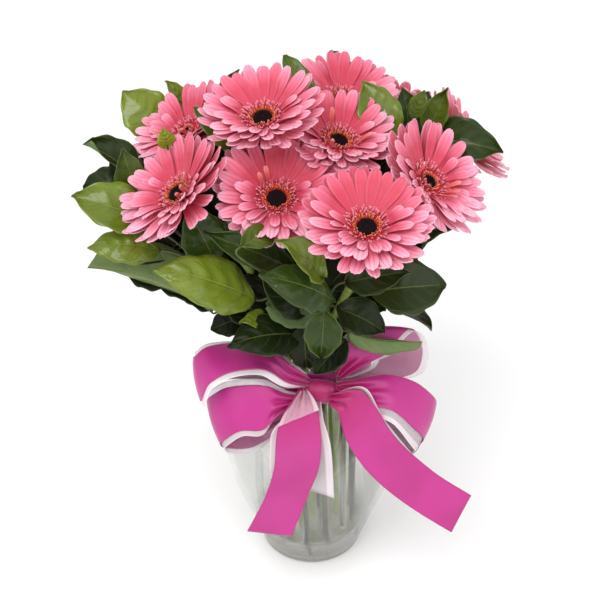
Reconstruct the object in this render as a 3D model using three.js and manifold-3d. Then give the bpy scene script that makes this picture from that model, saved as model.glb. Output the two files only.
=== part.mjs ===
// Gerberas in a clear glass vase, with leafy salal sprays and a two-ply ribbon bow.
// Millimetres, +Z up. The origin is the middle of the vase's foot, and -Y is the front.
import * as THREE from "three";
import { mergeVertices } from "three/addons/utils/BufferGeometryUtils.js";
import Module from "manifold-3d";

const wasm = await Module();
wasm.setup();

// ---- Vase and water ----
const GAP = 0.3; // clearance between pieces that touch
const TURNED_SIDES = 28; // sides of the vase, the water and the ribbon's collar
const VASE_FLOOR = 14; // thickness of the glass under the water
const WATER_LEVEL = 155;
const NECK_Z = 198; // narrowest height of the vase, where the stems are held
// Radius and height of the glass, outside from the foot up and inside from the lip down.
const GLASS_OUTSIDE = [
  [0, 0], [39, 0], [42.6, 2.5], [43.4, 6], [46, 12], [54, 35], [65.5, 67], [73, 100],
  [75.5, 125], [72, 150], [60, 170], [47, 185], [45, NECK_Z], [48, 212], [56, 222],
];
const GLASS_INSIDE = [
  [53, 221], [44.5, 211], [41, NECK_Z], [43, 184], [56, 168], [68, 148],
  [71.5, 125], [69, 100], [61.5, 68], [49, 37], [38, 16], [0, VASE_FLOOR],
];

// ---- Blooms ----
const RAYS = 20; // ray petals of a bloom, half of them in each layer
const WALL_RADIUS = 13; // the rays grow from this round wall
const WALL_Z = [-2.6, -0.2, 2];
const DISC_RADIUS = 8.2;
const CROWN_OUT = [16.5, 4.6]; // radius and height of the small florets round the disc
const CROWN_IN = [12.8, 6.2];
const PIT_LIP = [9.5, 4.2];
const PIT_FLOOR = [8.9, 1];
const CALYX = [[9.5, 2.9], [8.2, 8], [4.2, 13], [3, 20]]; // radius and depth under a bloom
const STEM_RADIUS = 3;
const STEM_SIDES = 6;
const KEEL = 0.13; // how far a blade's edges rise, as a share of its half width
// Radius, height, half width and thickness along a ray, for the lower and upper layers.
const RAY_LAYERS = [
  [[24, 0.4, 4.7, 1.3], [39, 5.2, 6.3, 1.2], [46.5, 10.5, 3.6, 0.9]],
  [[23, 5.2, 4.4, 1.3], [34, 10.6, 5.8, 1.2], [41, 15.6, 3.2, 0.9]],
];
const NOTCH = 1.4; // depth of the cut in the tip of a ray
// Place of each bloom's disc and the way that it faces.
const BLOOMS = [
  { at: [-97, 42, 374], faces: [-0.51, -0.14, 0.85], spin: 4 },
  { at: [-37.5, -5, 410.6], faces: [-0.14, -0.27, 0.955], spin: 16 },
  { at: [22.9, 73.8, 385.5], faces: [0.13, -0.22, 0.97], spin: 8 },
  { at: [18.3, 1, 388.4], faces: [0.2, -0.24, 0.95], spin: 24 },
  { at: [-99, -38, 366], faces: [-0.56, -0.25, 0.79], spin: 4 },
  { at: [-27.3, -38.5, 362.5], faces: [0.01, -0.5, 0.86], spin: 20 },
  { at: [36, -90, 369], faces: [0.04, -0.36, 0.93], spin: 0 },
  { at: [83.7, -27.4, 369.8], faces: [0.59, -0.37, 0.72], spin: 15 },
  { at: [117, 59, 358], faces: [0.76, 0.13, 0.63], spin: 12 },
  { at: [68, 126, 360], faces: [0.38, 0.62, 0.69], spin: 16 },
  { at: [-48, 100, 378], faces: [-0.3, 0.6, 0.74], spin: 28 },
];
const NECK_SHARE = 0.22; // a stem crosses the neck at this share of its bloom's reach
const FOOT_SHARE = 0.8; // and it stands at this share of its place in the neck
const FOOT_SHIFT = [7, -3];

// ---- Foliage ----
const TWIG_RADIUS = 2.2;
const TWIG_SIDES = 5;
const TWIG_BENDS = [0, 0.4, 0.75, 1]; // where a woody stem is bent, as shares of its upper part
const TWIG_RING = 36; // the woody stems stand round the inside of the neck at this radius
// Azimuth in the neck, or a place there for the one in the middle, and the end of each stem.
const SPRAYS = [
  { azimuth: -112, end: [-24, -60, 300] },
  { azimuth: -80, end: [12, -62, 296] },
  { azimuth: -48, end: [40, -37, 288] },
  { azimuth: -14, end: [98, -2, 322] },
  { azimuth: 20, end: [92, 36, 352] },
  { azimuth: 52, end: [60, 62, 356] },
  { azimuth: 88, end: [8, 92, 344] },
  { azimuth: 128, end: [-78, 72, 350] },
  { azimuth: 172, end: [-124, 0, 336] },
  { azimuth: -148, end: [-84, -38, 302] },
  { neck: [-1, 9], end: [-8, 14, 368] },
];
// Tip, base, width and roll in degrees of each leaf that shows from the front.
const FRONT_LEAVES = [
  { tip: [-111, -85, 333], base: [-43, -62, 289], width: 42, roll: 0 },
  { tip: [-178, -24, 358], base: [-123, -24, 330], width: 40, roll: 18 },
  { tip: [-167, -45, 327], base: [-114, -40, 298], width: 34, roll: 0 },
  { tip: [-176, -20, 292], base: [-95, -30, 268], width: 28, roll: -40 },
  { tip: [-172, 10, 382], base: [-134, 10, 349], width: 30, roll: 30 },
  { tip: [-179, 20, 338], base: [-141, 20, 345], width: 24, roll: 0 },
  { tip: [-142, -3, 385], base: [-131, -4, 337], width: 26, roll: -18 },
  { tip: [-152, 95, 384], base: [-119, 88, 352], width: 40, roll: 0 },
  { tip: [-117, 89, 396], base: [-99, 89, 369], width: 16, roll: 0 },
  { tip: [-57, 60, 419], base: [-66, 60, 389], width: 18, roll: 0 },
  { tip: [-23, 60, 431], base: [-1, 28, 401], width: 20, roll: 0 },
  { tip: [38, 47, 413], base: [56, 28, 367], width: 36, roll: 0 },
  { tip: [68, 60, 404], base: [75, 49, 368], width: 22, roll: 0 },
  { tip: [89, 70, 396], base: [84, 60, 366], width: 24, roll: 0 },
  { tip: [105, 75, 394], base: [102, 84, 350], width: 20, roll: -36 },
  { tip: [141, 7, 378], base: [85, 30, 377], width: 36, roll: 18 },
  { tip: [-93, -49, 362], base: [-74, -45, 312], width: 36, roll: 0 },
  { tip: [-76, -73, 354], base: [-19, -54, 312], width: 26, roll: 0 },
  { tip: [-64, -63, 364], base: [-51, -60, 338], width: 22, roll: 18 },
  { tip: [-29, -59, 346], base: [-52, -94, 355], width: 19, roll: 0 },
  { tip: [-23, -100, 365], base: [4, -75, 318], width: 26, roll: 0 },
  { tip: [-35, -100, 337], base: [15, -70, 293], width: 34, roll: 0 },
  { tip: [-38, -80, 326], base: [-9, -60, 277], width: 30, roll: 0 },
  { tip: [101, -40, 291], base: [42, -50, 290], width: 44, roll: 0 },
  { tip: [67, -75, 319], base: [23, -66, 304], width: 26, roll: 0 },
  { tip: [55, -60, 284], base: [27, -50, 288], width: 26, roll: 0 },
  { tip: [54, -70, 266], base: [17, -60, 281], width: 30, roll: 0 },
  { tip: [83, -70, 251], base: [24, -55, 251], width: 28, roll: 0 },
  { tip: [-62, -90, 270], base: [-10, -58, 255], width: 36, roll: 0 },
  { tip: [-53, -74, 279], base: [-34, -54, 261], width: 18, roll: 0 },
  { tip: [5, -85, 254], base: [8, -75, 291], width: 28, roll: 0 },
  { tip: [1, -68, 224], base: [25, -55, 248], width: 26, roll: 0 },
  { tip: [-37, -80, 296], base: [11, -60, 277], width: 28, roll: 0 },
  { tip: [-79, -45, 250], base: [-51, -40, 259], width: 24, roll: 0 },
  { tip: [-110, -6, 399], base: [-108, -1, 382], width: 14, roll: 18 },
  { tip: [-90, 22, 406], base: [-57, -5, 379], width: 16, roll: 0 },
  { tip: [-19, 11, 404], base: [-6, 6, 377], width: 20, roll: 0 },
];
// The other leaves stand in tiers round the sides and the back.
const BACK_TIERS = [
  { azimuths: [30, 75, 108, 152], base: [74, 338], tip: [136, 384], width: 36 },
  { azimuths: [2, 48, 92, 132, 168], base: [66, 300], tip: [130, 322], width: 38 },
  { azimuths: [-22, 24, 66, 112, 150, 186], base: [50, 262], tip: [104, 262], width: 34 },
];
// A leaf is bent clear of what is there already: the first of these that fits is taken.
const LEAF_SHIFTS = [0, 6, -6, 12, -12, 18, -18, 25, -25, 34];
const LEAF_ROLLS = [0, 22, -22, 45, -45];
const LEAF_SCALES = [1, 0.8, 0.62];
const LEAF_BENDS = LEAF_SCALES.flatMap((scale) =>
  LEAF_ROLLS.flatMap((roll) => LEAF_SHIFTS.map((shift) => ({ scale, roll, shift }))));
const LEAF_THICKNESS = 1.2;
const LEAF_CLEARANCE = 0.5;
const STALK_RADIUS = 1;
// Share of the length and share of the width at each cut across a leaf.
const LEAF_CUTS = [[0, 0.06], [0.24, 0.86], [0.55, 1], [0.84, 0.5]];
const LEAF_ARCH = 0.1; // rise of the midrib over its chord, as a share of the length

// ---- Ribbon: left and right edges of each run, from the knot outwards ----
const SATIN = 1; // thickness of the satin ply
const SHEER = 0.8; // thickness of the sheer ply inside each loop
const PLY_SPACING = 2.6; // between the middles of the two plies
const SHEER_OVERHANG = 0.19; // how far the sheer ply shows at each edge, as a share of the width
const KNOT = { at: [7, -57.4, 200.5], half: [10.5, 9, 9.5] };
const COLLAR = { low: 188, high: 211, thickness: 1.2 };
const LOOPS = {
  upper_left: [
    [[-4, -60, 217], [-4, -63, 209]], [[-16, -60, 228], [-21, -76, 222]],
    [[-35, -48, 237], [-39, -76, 235]], [[-64, -40, 234], [-61, -73, 231]],
    [[-83, -44, 233], [-79, -75, 221]], [[-92, -48, 226], [-87, -74, 203]],
    [[-90, -37, 220], [-87, -56, 207]], [[-62, -34, 219], [-56, -51, 209]],
    [[-30, -46, 212], [-26, -55, 203]], [[-4, -52, 211], [-4, -54, 204]],
  ],
  lower_left: [
    [[-4, -67.6, 203], [-4, -67.6, 195]], [[-20, -69, 206], [-25, -75, 193]],
    [[-39, -68, 214], [-39, -84, 183]], [[-61, -65, 209], [-54, -84, 182]],
    [[-70, -62, 200], [-66, -82, 172]], [[-75, -57, 189], [-71, -77, 162]],
    [[-74, -46, 176], [-66, -66, 149]], [[-56, -44, 174], [-48, -62, 147]],
    [[-30, -54, 182], [-26, -66, 168]], [[-4, -58, 198], [-4, -62, 191.5]],
  ],
  lower_right: [
    [[18, -62, 211], [18, -64, 203]], [[32, -58, 213], [40, -73, 199]],
    [[57, -56, 215], [62, -80, 198]], [[79, -54, 207], [78, -80, 181]],
    [[94, -52, 192], [86, -75, 167]], [[98, -47, 179], [85, -70, 157]],
    [[93, -38, 163], [81, -58, 138]], [[74, -36, 167], [66, -55, 141]],
    [[45, -46, 184], [43, -58, 170]], [[18, -52, 201], [18, -58, 194]],
  ],
  upper_right: [
    [[18, -58, 218], [20, -56, 211]], [[20, -56, 229], [40, -54, 224]],
    [[24, -51, 239], [57, -50, 231]], [[31, -46, 247], [66, -47, 244]],
    [[40, -40, 249], [75, -41, 248]], [[49, -36, 239], [83, -37, 237]],
    [[53, -35, 222], [86, -36, 218]], [[48, -38, 209], [78, -37, 201]],
    [[30, -47, 207], [42, -46, 200]], [[18, -51, 212], [18, -50, 206]],
  ],
};
const TAILS = {
  left: [
    [[0.5, -62, 190], [8, -66, 190]], [[-26, -85, 190], [3, -79, 202]],
    [[-29, -87, 174], [6, -87, 180]], [[-31, -89, 146], [5, -90, 153]],
    [[-39, -90, 117], [-3, -91, 124]], [[-53, -92, 84], [-17, -94, 81]],
  ],
  right: [
    [[13, -67.4, 194], [13, -67.4, 204]], [[20, -77, 189], [34, -74, 214]],
    [[25, -84, 175], [48, -82, 203]], [[35, -89, 157], [59, -84, 183]],
    [[50, -92, 138], [73, -86, 165]], [[78, -96, 113], [97, -88, 142]],
    [[111, -98, 89], [126, -88, 119]],
  ],
};
const SHEER_TAILS = {
  left: [
    [[2, -60, 188.7], [8, -63, 188.7]], [[-28, -82, 185], [8, -76, 187]],
    [[-33, -82, 161], [14, -82, 163]], [[-34, -81, 131], [17, -83, 112]],
  ],
  right: [
    [[18.2, -62, 191], [18.2, -62, 199]], [[22, -72, 178], [39, -74, 189]],
    [[31, -84, 152], [58, -79, 180]], [[60, -90, 116], [92, -82, 146]],
    [[88, -90, 98], [119, -80, 126]],
  ],
};

// ---- Finishes ----
const finish = (color, roughness, more = {}) => ({ color, roughness, metalness: 0, ...more });
const FINISHES = {
  glass: finish(0xe6efec, 0.05, { transparent: true, opacity: 0.25 }),
  water: finish(0xdfe9e6, 0.05, { transparent: true, opacity: 0.2 }),
  petal: finish(0xe87488, 0.55),
  disc: finish(0x2a0d12, 0.8),
  stem: finish(0x8fa45c, 0.5),
  leaf: finish(0x3f6420, 0.35),
  satin: finish(0xcf3497, 0.35),
  sheer: finish(0xf3edf2, 0.5),
};

const vector = (values) => new THREE.Vector3(...values);
const polar = (radius, angle, z) =>
  new THREE.Vector3(radius * Math.cos(angle), radius * Math.sin(angle), z);
const radians = THREE.MathUtils.degToRad;

// A repeatable stream of numbers from 0 to 1.
function randomStream(seed) {
  let state = seed;
  return () => {
    state = (state * 1664525 + 1013904223) % 4294967296;
    return state / 4294967296;
  };
}

// A surface that is put together from rings of points. Seen from the end of a tube, its rings
// run anticlockwise.
class Skin {
  points = [];
  faces = [];

  ring(points) {
    const first = this.points.length;
    this.points.push(...points);
    return points.map((_, i) => first + i);
  }

  quad([a, b, c, d], otherDiagonal = false) {
    if (otherDiagonal) this.faces.push([a, b, d], [b, c, d]);
    else this.faces.push([a, b, c], [a, c, d]);
  }

  // A blade's or a band's two faces are split alike, so that they never cross where it twists.
  tube(from, to, kind = "rod") {
    from.forEach((_, i) => {
      const next = (i + 1) % from.length;
      const other = (kind === "blade" && i % 2 === 1) || (kind === "band" && i > 0);
      this.quad([from[i], from[next], to[next], to[i]], other);
    });
  }

  lid(ring) {
    for (let i = 1; i + 1 < ring.length; i++) this.faces.push([ring[0], ring[i], ring[i + 1]]);
  }

  point(ring, tip) {
    ring.forEach((_, i) => this.faces.push([ring[i], ring[(i + 1) % ring.length], tip]));
  }

  geometry() {
    const flat = this.points.flatMap((p) => [p.x, p.y, p.z]);
    return new THREE.BufferGeometry()
      .setAttribute("position", new THREE.Float32BufferAttribute(flat, 3))
      .setIndex(this.faces.flat());
  }
}

// A closed body through rings of points. A last ring of one point ends it in a tip.
function loft(rings, kind) {
  const skin = new Skin();
  const made = rings.map((ring) => skin.ring(ring));
  const last = made.at(-1);
  skin.lid([...made[0]].reverse());
  for (let i = 0; i + 1 < made.length; i++) {
    if (made[i + 1].length === 1) skin.point(made[i], made[i + 1][0]);
    else skin.tube(made[i], made[i + 1], kind);
  }
  if (last.length > 1) skin.lid(last);
  return skin.geometry();
}

// A body turned about Z from a profile of radii and heights.
function turned(profile, sides = TURNED_SIDES) {
  const outline = profile.map(([radius, z]) => new THREE.Vector2(radius, z));
  return new THREE.LatheGeometry(outline, sides).rotateX(Math.PI / 2);
}

// The geometry as an exact solid with its faces pointing out.
function solidOf(geometry) {
  const bare = new THREE.BufferGeometry()
    .setAttribute("position", geometry.getAttribute("position"))
    .setIndex(geometry.index);
  const merged = mergeVertices(bare, 1e-4);
  const vertProperties = new Float32Array(merged.attributes.position.array);
  const triVerts = new Uint32Array(merged.index.array);
  const made = new wasm.Manifold(new wasm.Mesh({ numProp: 3, vertProperties, triVerts }));
  if (made.volume() > 0) return made;
  triVerts.reverse();
  return new wasm.Manifold(new wasm.Mesh({ numProp: 3, vertProperties, triVerts }));
}

function geometryOf(solid) {
  const { vertProperties, triVerts } = solid.getMesh();
  return new THREE.BufferGeometry()
    .setAttribute("position", new THREE.BufferAttribute(vertProperties, 3))
    .setIndex(new THREE.BufferAttribute(triVerts, 1));
}

const object = new THREE.Group();
const placed = []; // the solids that a leaf has to stay clear of

function addMesh(name, solid, finishName, parent = object) {
  const mesh = new THREE.Mesh(geometryOf(solid), new THREE.MeshStandardMaterial(FINISHES[finishName]));
  mesh.name = name;
  parent.add(mesh);
  mesh.updateWorldMatrix(true, false);
  placed.push({ name, solid: solid.transform(mesh.matrixWorld.elements) });
  return mesh;
}

// ---- Stems ----
// Each station of a rod has a middle, a direction and a radius.
function rod(stations, sides) {
  const up = new THREE.Vector3(0, 0, 1);
  return loft(stations.map(({ at, along, radius }) => {
    const turn = new THREE.Quaternion().setFromUnitVectors(up, along);
    return Array.from({ length: sides }, (_, i) =>
      polar(radius, (i / sides) * 2 * Math.PI, 0).applyQuaternion(turn).add(at));
  }));
}

// The straight part of a stem from its foot in the water to the neck, then a bend to its end.
function stemPath(neck, end, arriving, footZ) {
  const foot = vector([neck.x * FOOT_SHARE + FOOT_SHIFT[0], neck.y * FOOT_SHARE + FOOT_SHIFT[1], footZ]);
  const along = neck.clone().sub(foot).normalize();
  const reach = neck.distanceTo(end);
  const bend = new THREE.CubicBezierCurve3(
    neck,
    neck.clone().addScaledVector(along, reach * 0.3),
    end.clone().addScaledVector(arriving, -reach * 0.35),
    end,
  );
  return { foot, along, bend };
}

function pathStations({ foot, along, bend }, radius, shares) {
  return [
    { at: foot, along, radius },
    ...shares.map((t) => ({ at: bend.getPoint(t), along: bend.getTangent(t), radius })),
  ];
}

const waterHoles = [];
function addWaterHole({ foot, along, bend }, radius, sides) {
  const wide = radius + GAP + 0.1;
  waterHoles.push(solidOf(rod([
    { at: foot.clone().addScaledVector(along, -GAP), along, radius: wide },
    { at: bend.getPoint(0), along, radius: wide },
  ], sides)));
}

// ---- Blooms ----
// A ray petal: a keeled blade with a notched tip, which grows from one cell of the wall.
function growRay(skin, cell, angle, layer, random) {
  const reach = 1 + 0.05 * (random() - 0.5);
  const lift = 1.6 * (random() - 0.5);
  const lean = 0.05 * (random() - 0.5);
  let ring = cell;
  layer.forEach(([radius, height, half, thickness], station) => {
    const share = radius / layer.at(-1)[0];
    const isTip = station === layer.length - 1;
    const a = angle + lean * share;
    const middle = polar(radius * reach, a, height + lift * share);
    const inner = polar(radius * reach - (isTip ? NOTCH : 0), a, height + lift * share);
    const side = polar(half, a + Math.PI / 2, 0);
    const rise = new THREE.Vector3(0, 0, half * KEEL * 2);
    const thick = new THREE.Vector3(0, 0, thickness / 2);
    const next = skin.ring([
      middle.clone().sub(side).add(rise),
      inner.clone().sub(thick),
      middle.clone().add(side).add(rise),
      inner.clone().add(thick),
    ]);
    skin.tube(ring, next, "blade");
    ring = next;
  });
  skin.lid(ring);
}

// The head of a bloom: rays in two layers round a wall, a toothed crown of small florets over
// their roots, and a pit in the middle for the disc.
function bloomHead(random) {
  const skin = new Skin();
  const turn = (share) => (share / RAYS) * 2 * Math.PI;
  const circle = (count, place) => skin.ring(Array.from({ length: count }, (_, i) => place(i)));
  const even = ([radius, z]) => circle(RAYS, (i) => polar(radius, turn(i), z));
  const [low, mid, high] = WALL_Z.map((z) => even([WALL_RADIUS, z]));
  const crown = circle(2 * RAYS, (i) => {
    const [radius, z] = i % 2 ? CROWN_OUT : CROWN_IN;
    return polar(radius, turn(i / 2), z);
  });
  const lip = even(PIT_LIP);
  const pit = even(PIT_FLOOR);
  skin.lid([...low].reverse());
  for (let i = 0; i < RAYS; i++) {
    const next = (i + 1) % RAYS;
    [[low, mid], [mid, high]].forEach(([under, over], layer) => {
      const cell = [under[i], under[next], over[next], over[i]];
      if (i % 2 === layer) growRay(skin, cell, turn(i + 0.5), RAY_LAYERS[layer], random);
      else skin.quad(cell);
    });
    const [a, b, c] = [2 * i, 2 * i + 1, (2 * i + 2) % (2 * RAYS)].map((k) => crown[k]);
    skin.faces.push([high[i], high[next], b], [high[i], b, a], [high[next], c, b]);
    skin.faces.push([a, b, lip[i]], [b, lip[next], lip[i]], [b, c, lip[next]]);
    skin.quad([lip[i], lip[next], pit[next], pit[i]]);
  }
  skin.lid(pit);
  return skin.geometry();
}

function bloomDisc() {
  const floor = PIT_FLOOR[1] + GAP;
  const dome = [[0, floor], [DISC_RADIUS - 0.3, floor], [DISC_RADIUS, 3.4], [6, 5.4], [0, 5]];
  return turned(dome, 12);
}

function addBloom({ at, faces, spin }, number) {
  const name = `bloom_${String(number).padStart(2, "0")}`;
  const random = randomStream(number * 7919);
  const facing = vector(faces).normalize();
  const group = new THREE.Group();
  group.position.set(...at);
  group.quaternion.setFromUnitVectors(new THREE.Vector3(0, 0, 1), facing);
  group.rotateZ(radians(spin));
  object.add(group);
  addMesh(`${name}_petals`, solidOf(bloomHead(random)), "petal", group);
  addMesh(`${name}_disc`, solidOf(bloomDisc()), "disc", group);

  const under = (depth) => vector(at).addScaledVector(facing, -depth);
  const neck = vector([at[0] * NECK_SHARE, at[1] * NECK_SHARE, NECK_Z]);
  const bendEnd = under(CALYX.at(-1)[1]);
  const path = stemPath(neck, bendEnd, facing, VASE_FLOOR + 4 + 9 * random());
  const stations = pathStations(path, STEM_RADIUS, [0, 0.35, 0.7, 1]);
  [...CALYX].reverse().slice(1).forEach(([radius, depth]) =>
    stations.push({ at: under(depth), along: facing, radius }));
  addMesh(`${name}_stem`, solidOf(rod(stations, STEM_SIDES)), "stem");
  addWaterHole(path, STEM_RADIUS, STEM_SIDES);
}

// ---- Foliage ----
// The place of a leaf: the axes of its blade, moved along the way that it faces and rolled.
function leafFrame(leaf, { shift, roll }) {
  const facing = leafFacing(leaf);
  const from = vector(leaf.base).addScaledVector(facing, -shift);
  const to = vector(leaf.tip).addScaledVector(facing, -shift);
  const along = to.clone().sub(from).normalize();
  const normal = facing.clone().addScaledVector(along, -facing.dot(along)).normalize();
  normal.applyAxisAngle(along, radians(leaf.roll + roll));
  return { from, to, normal, across: along.clone().cross(normal) };
}

// A keeled section of a blade: left edge, underside, right edge and top.
function keeledSection(middle, across, normal, half, thickness, rise) {
  const lift = normal.clone().multiplyScalar(rise);
  const thick = normal.clone().multiplyScalar(thickness / 2);
  return [
    middle.clone().addScaledVector(across, -half).add(lift),
    middle.clone().sub(thick),
    middle.clone().addScaledVector(across, half).add(lift),
    middle.clone().add(thick),
  ];
}

// A pointed blade on its stalk, which starts inside the woody stem. Where the stalk meets the
// blade the section halves the angle between them.
function leafBlade(root, frame, width, extra) {
  const { from, to, normal, across } = frame;
  const length = from.distanceTo(to);
  const thickness = LEAF_THICKNESS + extra;
  const along = to.clone().sub(from).normalize();
  const stalkAlong = from.clone().sub(root).normalize();
  const level = (direction) => {
    const side = direction.clone().cross(normal).normalize();
    return [side, side.clone().cross(direction).normalize()];
  };
  const halfway = along.clone().add(stalkAlong).normalize();
  const cuts = LEAF_CUTS.map(([share, part]) => {
    const middle = from.clone().lerp(to, share);
    middle.addScaledVector(normal, 4 * LEAF_ARCH * length * share * (1 - share));
    const half = (part * width) / 2 + extra / 2;
    const axes = share ? [across, normal] : level(halfway);
    return keeledSection(middle, ...axes, half, thickness, share ? half * KEEL * 2 : 0);
  });
  const stalk = keeledSection(root, ...level(stalkAlong), STALK_RADIUS + extra / 2, thickness, 0);
  return solidOf(loft([stalk, ...cuts, [to]], "blade"));
}

function boxesMeet(a, b) {
  return [0, 1, 2].every((axis) => a.min[axis] <= b.max[axis] && b.min[axis] <= a.max[axis]);
}

function isClear(solid, ownName) {
  const box = solid.boundingBox();
  return placed.every(({ name, solid: other }) =>
    name === ownName ||
    !boxesMeet(box, other.boundingBox()) ||
    solid.intersect(other).volume() < 1e-6);
}

const sprayName = (number) => `leafy_stem_${String(number + 1).padStart(2, "0")}`;

function sprayPath({ azimuth, neck, end }, number) {
  const inNeck = neck
    ? vector([...neck, NECK_Z])
    : polar(TWIG_RING, radians(azimuth), NECK_Z);
  const to = vector(end);
  const outwards = to.clone().sub(inNeck).normalize();
  return stemPath(inNeck, to, outwards, VASE_FLOOR + 4 + ((number * 5) % 11));
}

function twig(path) {
  const stations = pathStations(path, TWIG_RADIUS, TWIG_BENDS);
  stations.at(-1).radius = TWIG_RADIUS * 0.7;
  return solidOf(rod(stations, TWIG_SIDES));
}

// The way that a leaf faces when it isn't rolled: up and to the front, or up and outwards.
function leafFacing({ tip, outwards }) {
  const level = outwards ? vector([tip[0], tip[1], 0]).normalize() : new THREE.Vector3(0, -1, 0);
  return level.multiplyScalar(0.65).add(new THREE.Vector3(0, 0, 0.76)).normalize();
}

// The nearest point on the upper, straight runs of any woody stem, where one behind the blade
// counts as nearer than one ahead of it.
function nearestRoot({ from, to }, paths) {
  const along = to.clone().sub(from).normalize();
  let best = { distance: Infinity };
  paths.forEach(({ bend }, spray) => {
    for (let run = 1; run < TWIG_BENDS.length; run++) {
      const line = new THREE.Line3(bend.getPoint(TWIG_BENDS[run - 1]), bend.getPoint(TWIG_BENDS[run]));
      const share = THREE.MathUtils.clamp(line.closestPointToPointParameter(from), 0.1, 0.9);
      const at = line.at(share, new THREE.Vector3());
      const ahead = at.clone().sub(from).normalize().dot(along);
      const distance = at.distanceTo(from) * (1.6 + ahead);
      if (distance < best.distance) best = { distance, spray, at };
    }
  });
  return best;
}

function backLeaves() {
  return BACK_TIERS.flatMap(({ azimuths, base, tip, width }, tier) =>
    azimuths.map((azimuth, i) => {
      const twist = 8 * ((i + tier) % 2 ? 1 : -1);
      return {
        base: polar(base[0], radians(azimuth), base[1]).toArray(),
        tip: polar(tip[0], radians(azimuth + twist), tip[1] + twist).toArray(),
        width,
        roll: 2 * twist,
        outwards: true,
      };
    }));
}

function addFoliage() {
  const paths = SPRAYS.map(sprayPath);
  const sprays = paths.map(twig);
  sprays.forEach((solid, i) => placed.push({ name: sprayName(i), solid }));
  paths.forEach((path) => addWaterHole(path, TWIG_RADIUS, TWIG_SIDES));
  for (const leaf of [...FRONT_LEAVES, ...backLeaves()]) {
    for (const bend of LEAF_BENDS) {
      const frame = leafFrame(leaf, bend);
      const width = leaf.width * bend.scale;
      const { spray, at } = nearestRoot(frame, paths);
      const name = sprayName(spray);
      if (!isClear(leafBlade(at, frame, width, LEAF_CLEARANCE), name)) continue;
      sprays[spray] = sprays[spray].add(leafBlade(at, frame, width, 0));
      placed.find((entry) => entry.name === name).solid = sprays[spray];
      break;
    }
  }
  sprays.forEach((solid, i) => {
    placed.splice(placed.findIndex((entry) => entry.name === sprayName(i)), 1);
    addMesh(sprayName(i), solid, "leaf");
  });
}

// ---- Ribbon ----
// The frame of each station of a ribbon: its two edges, its middle and the way its face points.
function ribbonFrames(edges) {
  const middles = edges.map(([a, b]) => vector(a).add(vector(b)).multiplyScalar(0.5));
  return edges.map(([a, b], i) => {
    const ahead = middles[Math.min(i + 1, middles.length - 1)];
    const behind = middles[Math.max(i - 1, 0)];
    const across = vector(b).sub(vector(a));
    const normal = ahead.clone().sub(behind).cross(across).normalize();
    return { left: vector(a), right: vector(b), middle: middles[i], across, normal };
  });
}

function band(frames, thickness) {
  return loft(frames.map(({ left, right, normal }) => {
    const half = normal.clone().multiplyScalar(thickness / 2);
    return [
      left.clone().add(half), right.clone().add(half),
      right.clone().sub(half), left.clone().sub(half),
    ];
  }), "band");
}

// The sheer ply of a loop: wider than the satin, and inside it.
function sheerFrames(frames) {
  const centre = new THREE.Vector3();
  frames.forEach(({ middle }) => centre.addScaledVector(middle, 1 / frames.length));
  const inwards = Math.sign(
    frames.reduce((sum, { middle, normal }) => sum + centre.clone().sub(middle).dot(normal), 0));
  return frames.map(({ left, right, across, normal }) => {
    const move = normal.clone().multiplyScalar(PLY_SPACING * inwards);
    return {
      left: left.clone().addScaledVector(across, -SHEER_OVERHANG).add(move),
      right: right.clone().addScaledVector(across, SHEER_OVERHANG).add(move),
      normal,
    };
  });
}

function addRibbon() {
  const shell = GLASS_OUTSIDE.filter(([, z]) => z > 180 && z < 215);
  const radiusAt = (z) => {
    const above = shell.findIndex((point) => point[1] >= z);
    const [[r0, z0], [r1, z1]] = [shell[above - 1], shell[above]];
    return r0 + ((r1 - r0) * (z - z0)) / (z1 - z0);
  };
  const { low, high, thickness } = COLLAR;
  const inside = [low, NECK_Z, high].map((z) => [radiusAt(z) + GAP + 0.1, z]);
  const outside = inside.map(([radius, z]) => [radius + thickness, z]).reverse();
  addMesh("ribbon_collar", solidOf(turned([...inside, ...outside, inside[0]])), "satin");

  // The knot is a short barrel across the front of the collar.
  const [x, y, z] = KNOT.at;
  const [halfX, halfY, halfZ] = KNOT.half;
  const barrel = [[-1, 0.75], [-0.6, 1], [0.6, 1], [1, 0.75]].map(([share, size]) =>
    Array.from({ length: 8 }, (_, i) => {
      const a = ((i + 0.5) / 8) * 2 * Math.PI;
      const bulge = size / Math.cos(Math.PI / 8);
      return vector([
        x + share * halfX,
        y + halfY * bulge * Math.cos(a),
        z + halfZ * bulge * Math.sin(a),
      ]);
    }));
  addMesh("ribbon_knot", solidOf(loft(barrel)), "satin");
  for (const [side, edges] of Object.entries(LOOPS)) {
    const frames = ribbonFrames(edges);
    addMesh(`ribbon_loop_${side}`, solidOf(band(frames, SATIN)), "satin");
    addMesh(`sheer_loop_${side}`, solidOf(band(sheerFrames(frames), SHEER)), "sheer");
  }
  for (const [side, edges] of Object.entries(TAILS))
    addMesh(`ribbon_tail_${side}`, solidOf(band(ribbonFrames(edges), SATIN)), "satin");
  for (const [side, edges] of Object.entries(SHEER_TAILS))
    addMesh(`sheer_tail_${side}`, solidOf(band(ribbonFrames(edges), SHEER)), "sheer");
}

function addWater() {
  const inside = GLASS_INSIDE.filter(([, z]) => z < WATER_LEVEL).reverse();
  const [low, high] = [GLASS_INSIDE.findLast(([, z]) => z > WATER_LEVEL), inside.at(-1)];
  const share = (WATER_LEVEL - high[1]) / (low[1] - high[1]);
  const rim = high[0] + (low[0] - high[0]) * share;
  const profile = inside.map(([radius, z]) => [Math.max(0, radius - GAP), z + GAP]);
  const body = solidOf(turned([...profile, [rim - 2 * GAP, WATER_LEVEL], [0, WATER_LEVEL]]));
  const holes = waterHoles.reduce((all, hole) => all.add(hole));
  addMesh("water", body.subtract(holes), "water");
}

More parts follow.
